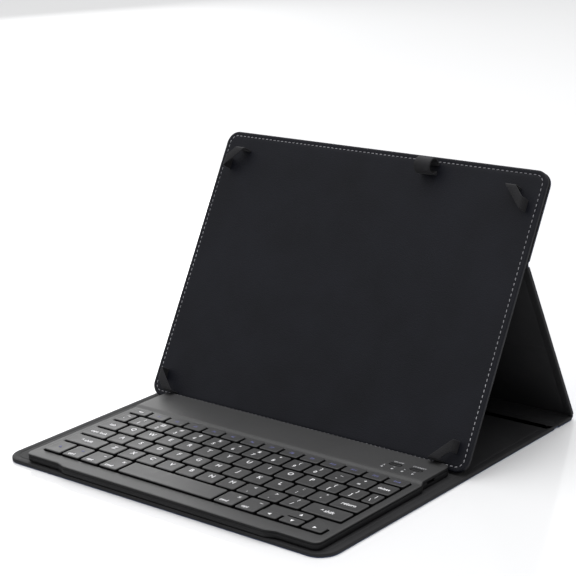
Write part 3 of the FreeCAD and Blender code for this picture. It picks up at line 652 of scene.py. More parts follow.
class Surface(Enum):
    """Every finish of the case."""

    NAVY = Finish(
        "navy leather", (0.0165, 0.038, 0.102), (0.0255, 0.0535, 0.133), Effect.PEBBLE, 1300.0, 0.05,
        roughness=(0.44, 0.56), specular=0.35, sheen=0.04,
    )
    BLACK = Finish(
        "black leather", (0.0045, 0.0046, 0.006), (0.009, 0.0092, 0.0115), Effect.PEBBLE, 1300.0, 0.05,
        roughness=(0.44, 0.56), specular=0.25,
    )
    TRIM = Finish(
        "dark trim leather", (0.003, 0.0034, 0.0062), (0.0065, 0.0072, 0.0118), Effect.PEBBLE,
        1100.0, 0.06, roughness=(0.40, 0.54), specular=0.2, rub_amount=0.3,
    )
    LINING = Finish(
        "inner lining", (0.016, 0.016, 0.017), (0.026, 0.026, 0.0275), Effect.WEAVE, 700.0, 0.02,
        roughness=(0.46, 0.60), specular=0.12,
    )
    ELASTIC = Finish(
        "knitted elastic", (0.005, 0.005, 0.0065), (0.012, 0.012, 0.0145), Effect.WEAVE, 420.0, 0.08,
        roughness=(0.6, 0.75), specular=0.3, sheen=0.05,
    )
    THREAD = Finish(
        "pale thread", (0.17, 0.17, 0.185), (0.36, 0.36, 0.38), Effect.WEAVE, 900.0, 0.04,
        roughness=(0.6, 0.8), mottle_scale=14.0, mottle_contrast=3.0,
    )
    SHELL = Finish(
        "keyboard shell", (0.020, 0.0202, 0.0208), (0.029, 0.029, 0.030), Effect.SPECKLE, 2600.0, 0.018,
        roughness=(0.38, 0.48), specular=0.45, mottle_scale=18.0,
    )
    # Dark finish of the bottom shell, and painted shade on the deck's steep walls.
    CASE = Finish(
        "keyboard side", (0.0045, 0.0045, 0.005), (0.008, 0.008, 0.009), Effect.SPECKLE, 2400.0, 0.02,
        roughness=(0.42, 0.55), specular=0.2,
    )
    CAP = Finish(
        "key cap", (0.0205, 0.0205, 0.0215), (0.030, 0.030, 0.031), Effect.SPECKLE, 3200.0, 0.012,
        roughness=(0.36, 0.46), specular=0.45, mottle_scale=90.0,
    )
    # Painted shade: near-black finish for the key caps' side walls, darker than their tops though the
    # caps are one plastic.
    SKIRT_SHADE = Finish(
        "key side painted shade", (0.0022, 0.0022, 0.0024), (0.004, 0.004, 0.0044), Effect.SPECKLE, 3200.0, 0.012,
        roughness=(0.5, 0.6), specular=0.08, mottle_scale=90.0,
    )
    LEGEND = Finish(
        "white legend", (0.66, 0.66, 0.68), (0.80, 0.80, 0.82), Effect.SPECKLE, 4000.0, 0.004,
        roughness=(0.5, 0.6), mottle_scale=400.0,
    )
    SECOND = Finish(
        "blue legend", (0.075, 0.078, 0.20), (0.11, 0.115, 0.28), Effect.SPECKLE, 4000.0, 0.004,
        roughness=(0.5, 0.6), mottle_scale=400.0,
    )
    MARK = Finish(
        "grey mark", (0.26, 0.26, 0.27), (0.36, 0.36, 0.38), Effect.SPECKLE, 4000.0, 0.004,
        roughness=(0.5, 0.6), mottle_scale=400.0,
    )
    BUTTON = Finish(
        "button", (0.004, 0.004, 0.0045), (0.007, 0.007, 0.008), Effect.SPECKLE, 3000.0, 0.008,
        roughness=(0.30, 0.40), specular=0.3, mottle_scale=200.0,
    )
    PORT = Finish(
        "dark plated steel", (0.045, 0.045, 0.048), (0.08, 0.08, 0.085), Effect.SPECKLE, 1500.0, 0.01,
        roughness=(0.35, 0.5), metallic=1.0,
    )
    LENS = Finish(
        "light pipe", (0.30, 0.30, 0.31), (0.42, 0.42, 0.44), Effect.SPECKLE, 1800.0, 0.006,
        roughness=(0.15, 0.25), coat=0.4,
    )
    STEEL = Finish(
        "stamped steel", (0.50, 0.50, 0.52), (0.60, 0.60, 0.62), Effect.SPECKLE, 1500.0, 0.01,
        roughness=(0.28, 0.42), metallic=1.0,
    )
    MAGNET = Finish(
        "nickel", (0.62, 0.60, 0.56), (0.70, 0.68, 0.64), Effect.SPECKLE, 900.0, 0.005,
        roughness=(0.14, 0.28), metallic=1.0,
    )
    MEMBRANE = Finish(
        "contact film", (0.003, 0.003, 0.0035), (0.006, 0.006, 0.007), Effect.SPECKLE, 900.0, 0.01,
        roughness=(0.4, 0.6), specular=0.2,
    )
    RUBBER = Finish(
        "soft rubber", (0.006, 0.006, 0.0065), (0.011, 0.011, 0.012), Effect.SPECKLE, 1200.0, 0.02,
        roughness=(0.65, 0.8),
    )
    CIRCUIT = Finish(
        "solder resist", (0.010, 0.085, 0.030), (0.018, 0.12, 0.045), Effect.SPECKLE, 700.0, 0.02,
        roughness=(0.25, 0.4), coat=0.3,
    )
    FOIL = Finish(
        "foil pouch", (0.58, 0.58, 0.57), (0.70, 0.70, 0.69), Effect.PEBBLE, 160.0, 0.05,
        roughness=(0.25, 0.4), metallic=0.9,
    )
    TAPE = Finish(
        "foam tape", (0.012, 0.012, 0.012), (0.022, 0.022, 0.022), Effect.SPECKLE, 1100.0, 0.04,
        roughness=(0.8, 0.9),
    )
    FLOOR = Finish(
        "pale floor", (0.80, 0.805, 0.815), (0.84, 0.84, 0.85), Effect.SPECKLE, 40.0, 0.0,
        roughness=(0.07, 0.10), mottle_scale=1.0, specular=0.55,
    )


class Wardrobe:
    """Materials by finish, each built when it is first asked for."""

    def __init__(self) -> None:
        """Build the shared effects."""
        self.effects = Effects()
        self.made: dict[Surface, bpy.types.Material] = {}

    def get(self, surface: Surface) -> bpy.types.Material:
        """Find or build a material.

        Args:
            surface: The finish.

        Returns:
            Its material.
        """
        if surface not in self.made:
            self.made[surface] = surface.value.material(self.effects)
        return self.made[surface]

    def clothe(
        self, made: Sculpt, name: str, surface: Surface, matrix: Matrix, body: str, slot: str,
        nodes: Sequence[str] = (), sharp: float = SHARP,
    ) -> None:
        """Finish a mesh as a piece that rides on a body.

        Args:
            made: The mesh.
            name: Name of the piece.
            surface: Its finish.
            matrix: Placement of its panel's frame.
            body: Name of the body.
            slot: Material slot; not used.
            nodes: Frame nodes that it replaces.
            sharp: Angle in degrees above which an edge stays sharp.
        """
        fit(made.piece(name, self.get(surface), matrix, sharp), body, nodes)


# ------------------------------------------------------------------ the rest pose


@dataclass(frozen=True)
class RestPose:
    """Where the panels stand in the typing position, in millimetres and degrees."""

    depth: float = 268.7497
    width: float = 270.0
    panel: float = 2.6
    cover_length: float = 243.8
    half_gap: float = 2.6
    fold_half_gap: float = 2.2
    spine_plate: float = 16.8
    leg_plate: float = 128.2
    rear: Pair = (268.4, 1.3)
    fold: Pair = (211.7506, 121.6322)
    heel: Pair = (141.4, 2.9)
    leg: float = 115.2099
    carrier: float = 60.0169

    def stand(self, y: float, z: float, tilt: float = 0.0, x: float = 0.0) -> Matrix:
        """Placement of a frame.

        Args:
            y: Distance behind the cover's front edge.
            z: Height above the table.
            tilt: Turn about +X.
            x: Distance to the right of the middle.

        Returns:
            A matrix that takes millimetres to metres.
        """
        move = Matrix.Translation(Vector((x, y - self.depth / 2, z)) * MM)
        return move @ Matrix.Rotation(math.radians(tilt), 4, "X") @ Matrix.Scale(MM, 4)

    def on_panel(self, pivot: Pair, tilt: float, along: float, across: float) -> Matrix:
        """Placement on a tilted panel.

        Args:
            pivot: Where the panel starts.
            tilt: The panel's turn about +X.
            along: Distance along it.
            across: Distance out of it.

        Returns:
            A matrix that takes millimetres to metres.
        """
        angle = math.radians(tilt)
        y = pivot[0] + along * math.cos(angle) - across * math.sin(angle)
        z = pivot[1] + along * math.sin(angle) + across * math.cos(angle)
        return self.stand(y, z, tilt)

    def row_point(self, y: float, z: float) -> tuple[float, float, float]:
        """A point on the middle plane, in the row frame."""
        return (0.0, (y - self.depth / 2) * MM, z * MM)


# ------------------------------------------------------------------ folding cover


@dataclass
class FoldingCover:
    """Front cover, spine, leg and upper back panel, with their creases."""

    wardrobe: Wardrobe
    rest: RestPose
    corner_radius: float = 13.0
    square_corner: float = 0.6
    upper_radius: float = 9.0
    upper_length: float = 58.8
    upper_thickness: float = 2.0
    upper_skin: float = 0.9
    tape: float = 0.9
    skin_share: float = 0.55
    groove_place: float = 58.4
    groove_width: float = 3.0
    groove_depth: float = 0.75
    soft_edge: float = 0.75
    side_edge: float = 0.6
    seam_inset: float = 5.0
    seam_depth: float = 0.2
    end_thinning: float = 0.35
    end_run: float = 1.2
    crease_thickness: float = 1.9
    crease_overlap: float = 2.4

    def build(self) -> None:
        """Build and dress every panel."""
        rest = self.rest
        self.front_cover()
        start = rest.cover_length + 2 * rest.half_gap
        self.ribbon_pair(
            "spine", rest.spine_plate, rest.stand(start, 0), None,
            ("spine_skin", "spine_board"), ("spine_lining",),
        )
        self.ribbon_pair(
            "leg", rest.leg_plate,
            rest.on_panel(rest.rear, rest.leg, rest.half_gap, -rest.panel / 2),
            self.groove_place, ("leg_skin", "leg_boards"), ("leg_lining",),
        )
        self.upper_back()
        self.creases()

    def front_cover(self) -> None:
        """Build the panel on the table: an outer skin and an inner lining."""
        half = self.rest.width / 2
        radius, square, share = self.corner_radius, self.square_corner, self.skin_share
        outline = box_outline(-half, half, 0, self.rest.cover_length)
        plan = rounded(outline, (radius, radius, square, square), 12)
        matrix = self.rest.stand(0, 0)
        skin, lining = Sculpt(), Sculpt()
        skin.loft(plan, edge_profile(0, share, 0.45, JOINT_EDGE))
        self.wardrobe.clothe(
            skin, "front_cover_outer", Surface.NAVY, matrix,
            "front_cover", "outer_leather", ("front_cover_skin", "front_cover_board"),
        )
        profile = edge_profile(share, self.rest.panel, JOINT_EDGE, self.soft_edge)
        lining.loft(plan, profile[:-1] + self.seam(self.rest.panel))
        self.wardrobe.clothe(
            lining, "front_cover_inner", Surface.LINING, matrix,
            "front_cover", "lining", ("front_cover_lining",),
        )

    def seam(self, top: float) -> Profile:
        """A pressed line round a panel, just inside its edge.

        Args:
            top: Height of the panel's top.

        Returns:
            Pairs of inset and height.
        """
        inset, depth = self.seam_inset, self.seam_depth
        return [
            (inset - 0.6, top), (inset - 0.25, top - depth * 0.6), (inset, top - depth),
            (inset + 0.25, top - depth * 0.6), (inset + 0.6, top), (inset + 1.4, top),
        ]

    def ribbon_pair(
        self, body: str, length: float, matrix: Matrix, groove: float | None,
        skin_nodes: Sequence[str], lining_nodes: Sequence[str],
    ) -> None:
        """Build a square-ended panel: an outer skin and an inner lining.

        Args:
            body: Name of its body.
            length: How far it runs.
            matrix: Its placement.
            groove: Where a pressed groove crosses it, or None.
            skin_nodes: Nodes that the skin stands for.
            lining_nodes: Nodes that the lining stands for.
        """
        def dip(along: float) -> float:
            """Depth of the groove.

            Args:
                along: Distance along the panel.

            Returns:
                The depth, 0 away from the groove.
            """
            if groove is None:
                return 0.0
            away = abs(along - groove) / self.groove_width
            return self.groove_depth * (1 - smooth_step(away))

        def end_drop(along: float) -> float:
            """How much the panel thins at its two ends."""
            near = min(along, length - along)
            return self.end_thinning * (1 - smooth_step(near / self.end_run))

        middle = self.skin_share
        stops = self.stops(length, groove)
        top = self.rest.panel
        skin = self.ribbon(
            stops, lambda s: dip(s) + end_drop(s), lambda s: middle + 0.3 * dip(s)
        )
        self.wardrobe.clothe(
            skin, f"{body}_outer", Surface.NAVY, matrix, body, "outer_leather", skin_nodes, 50
        )
        lining = self.ribbon(
            stops, lambda s: middle + 0.3 * dip(s), lambda s: top - 0.35 * dip(s) - end_drop(s),
            self.seam_depth,
        )
        self.wardrobe.clothe(
            lining, f"{body}_inner", Surface.LINING, matrix, body, "lining", lining_nodes, 50
        )

    def stops(self, length: float, groove: float | None) -> list[float]:
        """Places along a panel where its section is drawn.

        Args:
            length: How far the panel runs.
            groove: Where a pressed groove crosses it, or None.

        Returns:
            The places, in order.
        """
        ends = [0.0, 0.2, 0.5, 0.8, 1.2]
        made = ends + [length - stop for stop in reversed(ends)]
        count = max(2, round(length / 12))
        made += [2 + (length - 4) * step / count for step in range(count + 1)]
        if groove is not None:
            made += [groove + self.groove_width * step / 6 for step in range(-6, 7)]
        return sorted({round(stop, 3) for stop in made})

    def ribbon(
        self, stops: list[float], low: Callable[[float], float], high: Callable[[float], float],
        seam: float = 0.0,
    ) -> Sculpt:
        """Sweep a section across the whole width, with soft side edges.

        Args:
            stops: Places along the panel.
            low: Underside height at a place.
            high: Top height at a place.
            seam: Depth of a pressed line along each side.

        Returns:
            The closed mesh.
        """
        made = Sculpt()
        half = self.rest.width / 2
        edge = self.side_edge
        stations = [(half - edge * (1 - math.sin(a)), edge * (1 - math.cos(a)))
                    for a in (math.pi / 2, math.pi / 3, math.pi / 6, 0.0)]
        spread = [(x, 0.45 * squeeze, 0.0) for x, squeeze in stations]
        for away, share in ((0.6, 0.0), (0.25, 0.6), (0.0, 1.0), (-0.25, 0.6), (-0.6, 0.0)):
            spread.append((half - self.seam_inset + away, 0.0, seam * share))
        across = [(-x, s, d) for x, s, d in spread] + [(x, s, d) for x, s, d in reversed(spread)]
        rings = []
        for x, squeeze, pressed in across:
            under = [(x, s, min(low(s) + squeeze, high(s) - 0.02)) for s in stops]
            over = [
                (x, s, max(high(s) - squeeze - pressed, low(s) + 0.02)) for s in reversed(stops)
            ]
            rings.append(made.row(under + over))
        made.tube(rings)
        return made

    def upper_back(self) -> None:
        """Build the panel that is taped behind the carrier."""
        rest = self.rest
        half = rest.width / 2
        radius = self.upper_radius
        outline = box_outline(-half, half, 0, self.upper_length)
        plan = rounded(outline, (self.square_corner, self.square_corner, radius, radius), 10)
        depth = self.upper_thickness + self.tape
        matrix = rest.on_panel(
            rest.heel, rest.carrier, self.rest_fold_height() + rest.fold_half_gap, -depth
        )
        for layer, surface, profile, node in (
            ("outer", Surface.NAVY, edge_profile(0, self.upper_skin, 0.6, JOINT_EDGE),
             "upper_back_skin"),
            ("inner", Surface.BLACK,
             edge_profile(self.upper_skin, self.upper_thickness, JOINT_EDGE, 0.4),
             "upper_back_board"),
        ):
            made = Sculpt()
            made.loft(plan, profile)
            self.wardrobe.clothe(
                made, f"upper_back_{layer}", surface, matrix, "carrier", "outer_leather", (node,)
            )

    def rest_fold_height(self) -> float:
        """Height of the fold line up the carrier.

        Returns:
            The distance from the carrier's lower edge.
        """
        behind = self.rest.panel / 2 + 0.3
        run = Vector(self.rest.fold) - Vector(self.rest.heel)
        return math.sqrt(run.length_squared - behind**2)

    def creases(self) -> None:
        """Build the three creases, each curved between its two bodies."""
        rest = self.rest
        spine_line = (rest.cover_length + rest.half_gap, rest.panel / 2)
        self.crease(
            "spine_crease_skin", spine_line, (0.0, 0.0), rest.half_gap,
            ("front_cover", "spine"), "spine_crease",
        )
        self.crease(
            "rear_crease_skin", rest.rear, (0.0, rest.leg), rest.half_gap,
            ("spine", "leg"), "rear_crease",
        )
        self.crease(
            "fold_crease_skin", rest.fold, (rest.leg, rest.carrier), rest.fold_half_gap,
            ("leg", "carrier"), "fold_crease",
        )

    def crease(
        self, name: str, pivot: Pair, headings: Pair, half_gap: float,
        bodies: tuple[str, str], node: str,
    ) -> None:
        """Build a crease as an outer and an inner skin that turn between two panels.

        Args:
            name: Name of the piece.
            pivot: Where the panels' middle planes meet.
            headings: Directions of the two panels, in degrees.
            half_gap: Length of bare crease each side of the pivot.
            bodies: The two bodies that it joins.
            node: The node that it stands for.
        """
        path = self.crease_path(pivot, headings, half_gap)
        thick = self.crease_thickness / 2
        for layer, surface, slot, low, high in (
            ("outer", Surface.NAVY, "outer_leather", -thick, 0.0),
            ("inner", Surface.LINING, "lining", 0.0, thick),
        ):
            made = Sculpt()
            half = self.rest.width / 2 - 0.3
            stations = [(-half, 0.55), (-half + 0.5, 0.9), (-half + 1.2, 1.0), (-half + 5, 1.0)]
            stations += [(-x, share) for x, share in reversed(stations)]
            rings = []
            for x, share in stations:
                under = [(x, *self.off(point, low * share)) for point in path]
                over = [(x, *self.off(point, high * share)) for point in reversed(path)]
                rings.append(made.row(under + over))
            made.tube(rings)
            piece = made.piece(
                f"{name}_{layer}", self.wardrobe.get(surface), self.rest.stand(0, 0), 60
            )
            start = self.end_point(pivot, headings[0], -half_gap)
            finish = self.end_point(pivot, headings[1], half_gap)
            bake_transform(piece)
            nodes = (node,) if layer == "outer" else ()
            finish_fit(piece, nodes, " and ".join(bodies))

    def beyond(self, pivot: Pair, heading: float, distance: float) -> Pair:
        """Point at a distance from a pivot along a heading in radians."""
        return pivot[0] + distance * math.cos(heading), pivot[1] + distance * math.sin(heading)

    def end_point(self, pivot: Pair, heading: float, distance: float) -> tuple[float, float, float]:
        """Row-frame point at a distance from a pivot along a heading in degrees."""
        return self.rest.row_point(*self.beyond(pivot, math.radians(heading), distance))

    def off(self, point: tuple[float, float, float], distance: float) -> Pair:
        """Place at a distance to the inner side of a path's point."""
        y, z, angle = point
        return y - distance * math.sin(angle), z + distance * math.cos(angle)

    def crease_path(
        self, pivot: Pair, headings: Pair, half_gap: float
    ) -> list[tuple[float, float, float]]:
        """Middle line of a crease: a short straight, an arc and a short straight.

        Args:
            pivot: Where the panels' middle planes meet.
            headings: Directions of the two panels, in degrees.
            half_gap: Length of bare crease each side of the pivot.

        Returns:
            Points as y, z and heading in radians.
        """
        first, second = (math.radians(heading) for heading in headings)
        reach = half_gap + self.crease_overlap
        straight = (reach, half_gap + 0.6, half_gap)
        made = [(*self.beyond(pivot, first, -distance), first) for distance in straight]
        bend = second - first
        count = 14
        flat = abs(bend) < 1e-4
        radius = 0.0 if flat else half_gap / math.tan(bend / 2)
        centre = self.off(made[-1], radius)
        for step in range(1, count):
            if flat:
                distance = half_gap * (2 * step / count - 1)
                made.append((*self.beyond(pivot, first, distance), first))
            else:
                angle = first + bend * step / count
                made.append((
                    centre[0] + radius * math.sin(angle), centre[1] - radius * math.cos(angle), angle,
                ))
        made += [(*self.beyond(pivot, second, distance), second) for distance in reversed(straight)]
        return made


# ------------------------------------------------------------------ carrier


@dataclass
class Carrier:
    """The stiff panel behind the tablet, with its stitching, straps and loop."""

    wardrobe: Wardrobe
    rest: RestPose
    width: float = 270.0
    tablet_width: float = 248.0
    tablet_height: float = 179.0
    tablet_thickness: float = 7.2
    low: float = -95.0
    high: float = 104.0
    thickness: float = 3.0
    backing: float = 0.6
    radius: float = 9.0
    stitch_inset: float = 3.3
    stitch_pitch: float = 3.5
    stitch_length: float = 2.1
    stitch_radius: float = 0.29
    stitch_slant: Pair = (0.04, 0.12)
    strap_reach: Pair = (6.0, 14.0)
    strap_thickness: float = 0.9
    strap_clearance: float = 0.4
    strap_bend: float = 0.9
    strap_sag: float = 0.16
    loop_middle: float = 45.5
    loop_below_top: float = 8.3
    loop_width: float = 12.5
    loop_radius: float = 5.3
    loop_wall: float = 1.0
    loop_opening: float = 24.0

    def build(self) -> None:
        """Build and dress every piece."""
        self.matrix = self.rest.on_panel(self.rest.heel, self.rest.carrier, -self.low, 0)
        self.panel()
        self.stitching()
        for side in (-1, 1):
            for level in (-1, 1):
                self.strap(side, level)
        self.pen_loop()

    def outline(self) -> Loop:
        """Plan of the carrier."""
        half = self.width / 2
        return rounded_box((-half, half, self.low, self.high), self.radius, 10)

    def panel(self) -> None:
        """Build the leather facing, with its sewn line, and the backing."""
        plan = self.outline()
        facing = Sculpt()
        top = self.thickness
        profile = edge_profile(self.backing, top, 0.05, 1.0, 5)[:-1]
        seam = self.stitch_inset
        profile += [
            (seam - 1.4, top), (seam - 0.7, top - 0.10), (seam, top - 0.22),
            (seam + 0.7, top - 0.10), (seam + 1.4, top), (seam + 3.0, top),
        ]
        facing.loft(plan, profile)
        self.wardrobe.clothe(
            facing, "carrier_facing_leather", Surface.TRIM, self.matrix,
            "carrier", "black_leather", ("carrier_facing", "carrier_board"),
        )
        backing = Sculpt()
        backing.loft(plan, edge_profile(0, self.backing, 0.35, JOINT_EDGE, 3))
        self.wardrobe.clothe(
            backing, "carrier_backing_cloth", Surface.LINING, self.matrix,
            "carrier", "lining", ("carrier_backing",),
        )

    def stitching(self) -> None:
        """Sew round the whole edge."""
        path = drawn_in(self.outline(), self.stitch_inset)
        made = Sculpt()
        draw = Random(7)
        lengths = [
            (Vector(b) - Vector(a)).length for a, b in zip(path, path[1:] + path[:1])
        ]
        total = sum(lengths)
        count = round(total / self.stitch_pitch)
        for number in range(count):
            target = total * number / count
            index = 0
            while target > lengths[index]:
                target -= lengths[index]
                index += 1
            here, after = Vector(path[index]), Vector(path[(index + 1) % len(path)])
            heading = (after - here).normalized()
            middle = here + heading * target
            slant = draw.uniform(*self.stitch_slant)
            self.stitch(made, middle, math.atan2(heading.y, heading.x) + slant)
        self.wardrobe.clothe(
            made, "carrier_stitching", Surface.THREAD, self.matrix, "carrier", "black_leather",
            sharp=80,
        )

    def stitch(self, made: Sculpt, middle: Vector, angle: float) -> None:
        """Add one stitch, a bead of thread that dives in at both ends.

        Args:
            made: The mesh of the seam.
            middle: Its middle on the panel.
            angle: Its heading in radians.
        """
        along = Vector((math.cos(angle), math.sin(angle), 0))
        across = Vector((-along.y, along.x, 0))
        up = Vector((0, 0, 1))
        rings = []
        base = Vector((middle.x, middle.y, self.thickness - 0.16))
        for place, girth, lift in (
            (-0.5, 0.45, -0.30), (-0.42, 0.85, -0.06), (-0.2, 1.0, 0.08), (0.2, 1.0, 0.08),
            (0.42, 0.85, -0.06), (0.5, 0.45, -0.30),
        ):
            centre = base + along * self.stitch_length * place + up * lift
            radius = self.stitch_radius * girth
            rings.append(made.row(
                centre + across * radius * math.cos(a) + up * radius * 0.8 * math.sin(a)
                for a in (math.tau * k / 6 for k in range(6))
            ))
        made.tube(rings)

    def strap(self, side: int, level: int) -> None:
        """Build one elastic band over a corner of the tablet.

        Args:
            side: -1 for the left, 1 for the right.
            level: -1 for the bottom, 1 for the top.
        """
        out = self.strap_clearance + self.strap_thickness / 2
        top = self.thickness + self.tablet_thickness + out
        near, far = self.strap_reach
        made = Sculpt()
        columns = 8
        bend = self.strap_bend
        rows = []
        for column in range(columns + 1):
            reach = near + (far - near) * column / columns
            sag = self.strap_sag * math.cos(math.pi * (column / columns - 0.5) * 1.6)
            first = [(-out, reach, self.thickness - 0.5), (-out, reach, self.thickness + 2.5)]
            first += [(-out, reach, top - bend - 0.6)]
            for step in range(1, 5):
                angle = math.pi / 2 * step / 5
                first.append((
                    -out + bend * (1 - math.cos(angle)),
                    reach - bend * (1 - math.cos(angle)),
                    top - bend + bend * math.sin(angle),
                ))
            last = [(b, a, h) for a, b, h in reversed(first)]
            start, finish = Vector(first[-1]), Vector(last[0])
            front = []
            for step in range(1, 8):
                point = start.lerp(finish, step / 8)
                point.z = top + sag * math.sin(math.pi * step / 8)
                front.append(tuple(point))
            rows.append(first + front + last)
        points = [[self.corner_point(side, level, *point) for point in row] for row in rows]
        made.walls([made.row(row) for row in points], closed=False)
        name = f"strap_{'top' if level > 0 else 'bottom'}_{'right' if side > 0 else 'left'}"
        piece = made.piece(name, self.wardrobe.get(Surface.ELASTIC), self.matrix, 80)
        self.thicken(piece, self.strap_thickness)
        node = f"corner_strap_{name[6:]}"
        fit(piece, "carrier", (node,))

    def thicken(self, piece: bpy.types.Object, thickness: float) -> None:
        """Turn a sheet into a band with soft edges.

        Args:
            piece: The sheet.
            thickness: Thickness in millimetres.
        """
        solid = piece.modifiers.new("thickness", "SOLIDIFY")
        solid.thickness = thickness * MM
        solid.offset = 0.0
        round_edge = piece.modifiers.new("edge", "BEVEL")
        round_edge.width = thickness * 0.3 * MM
        round_edge.segments = 3
        round_edge.limit_method = "ANGLE"
        round_edge.angle_limit = math.radians(60)

    def corner_point(
        self, side: int, level: int, inward: float, upward: float, height: float
    ) -> tuple[float, float, float]:
        """A point near a tablet corner, by how far it lies inside each edge.

        Args:
            side: -1 for the left, 1 for the right.
            level: -1 for the bottom, 1 for the top.
            inward: Distance inside the side edge.
            upward: Distance inside the bottom or top edge.
            height: Height above the carrier's back.

        Returns:
            The point in the carrier's frame.
        """
        return (
            side * (self.tablet_width / 2 - inward),
            level * (self.tablet_height / 2 - upward),
            height,
        )

    def pen_loop(self) -> None:
        """Build the elastic loop for a stylus."""
        made = Sculpt()
        middle = self.high - self.loop_below_top
        base = self.thickness + self.loop_wall / 2
        centre = self.thickness + self.loop_radius + self.loop_wall / 2
        path = [(-4.4, base), (-3.4, base), (-2.4, base + 0.12)]
        opening = math.radians(self.loop_opening)
        for step in range(21):
            angle = -math.pi / 2 - opening - (math.tau - 2 * opening) * step / 20
            path.append((
                self.loop_radius * math.cos(angle), centre + self.loop_radius * math.sin(angle),
            ))
        path += [(2.4, base + 0.12), (3.4, base), (4.4, base)]
        stations = [self.loop_middle + self.loop_width * (k / 6 - 0.5) for k in range(7)]
        rows = [made.row((x, middle + y, z) for y, z in path) for x in stations]
        made.walls(rows, closed=False)
        piece = made.piece("stylus_loop", self.wardrobe.get(Surface.ELASTIC), self.matrix, 80)
        self.thicken(piece, self.loop_wall)
        fit(piece, "carrier", ("pen_loop",))


# ------------------------------------------------------------------ keyboard


class Row(Enum):
    """Rows of keys, from the user's side, with the units of their caps."""

    FRONT = (1, 1, 1, 1, 4.75, 1, 1, 1, 1, 1)
    LOWER = (1.85, *[1] * 10, 1.9)
    HOME = (1.375, *[1] * 11, 1.375)
    UPPER = (1.1, *[1] * 12, 0.65)
    NUMBER = (0.75, *[1] * 13)
    FUNCTION = (UNITS_ACROSS / 14,) * 14


@dataclass(frozen=True)
class Legend:
    """Lettering of one key: text, its size and where it stands on the cap."""

    text: str
    size: float = 4.0
    across: float = 0.0
    along: float = 0.0
    surface: Surface = Surface.LEGEND


@dataclass(frozen=True)
class Key:
    """One key cap: its body, its edges and its lettering."""

    body: str
    left: float
    right: float
    low: float
    high: float
    legends: tuple[Legend, ...] = ()
    arrow: float | None = None

    def middle(self) -> Vector:
        """Middle of the cap, on the keyboard's underside."""
        return Vector(((self.left + self.right) / 2, (self.low + self.high) / 2, 0))


def plain(text: str) -> tuple[Legend, ...]:
    """One letter in the middle of a cap."""
    return (Legend(text, 5.2, 0.0, 1.6),)


def pair(upper: str, lower: str) -> tuple[Legend, ...]:
    """Two signs, one above the other."""
    return (Legend(upper, 3.9, 0.6, 3.0), Legend(lower, 4.4, -0.6, -2.5))


def word(text: str, size: float = 3.6) -> tuple[Legend, ...]:
    """A short word on a cap."""
    return (Legend(text, size),)


def modifier(text: str, mark: str) -> tuple[Legend, ...]:
    """A word near the user and a small sign behind it."""
    return (Legend(text, 3.7, -1.8, -4.6), Legend(mark, 4.2, 3.6, 4.2))


def blue(text: str) -> tuple[Legend, ...]:
    """A small second function."""
    return (Legend(text, 3.0, 0.0, 0.0, Surface.SECOND),)


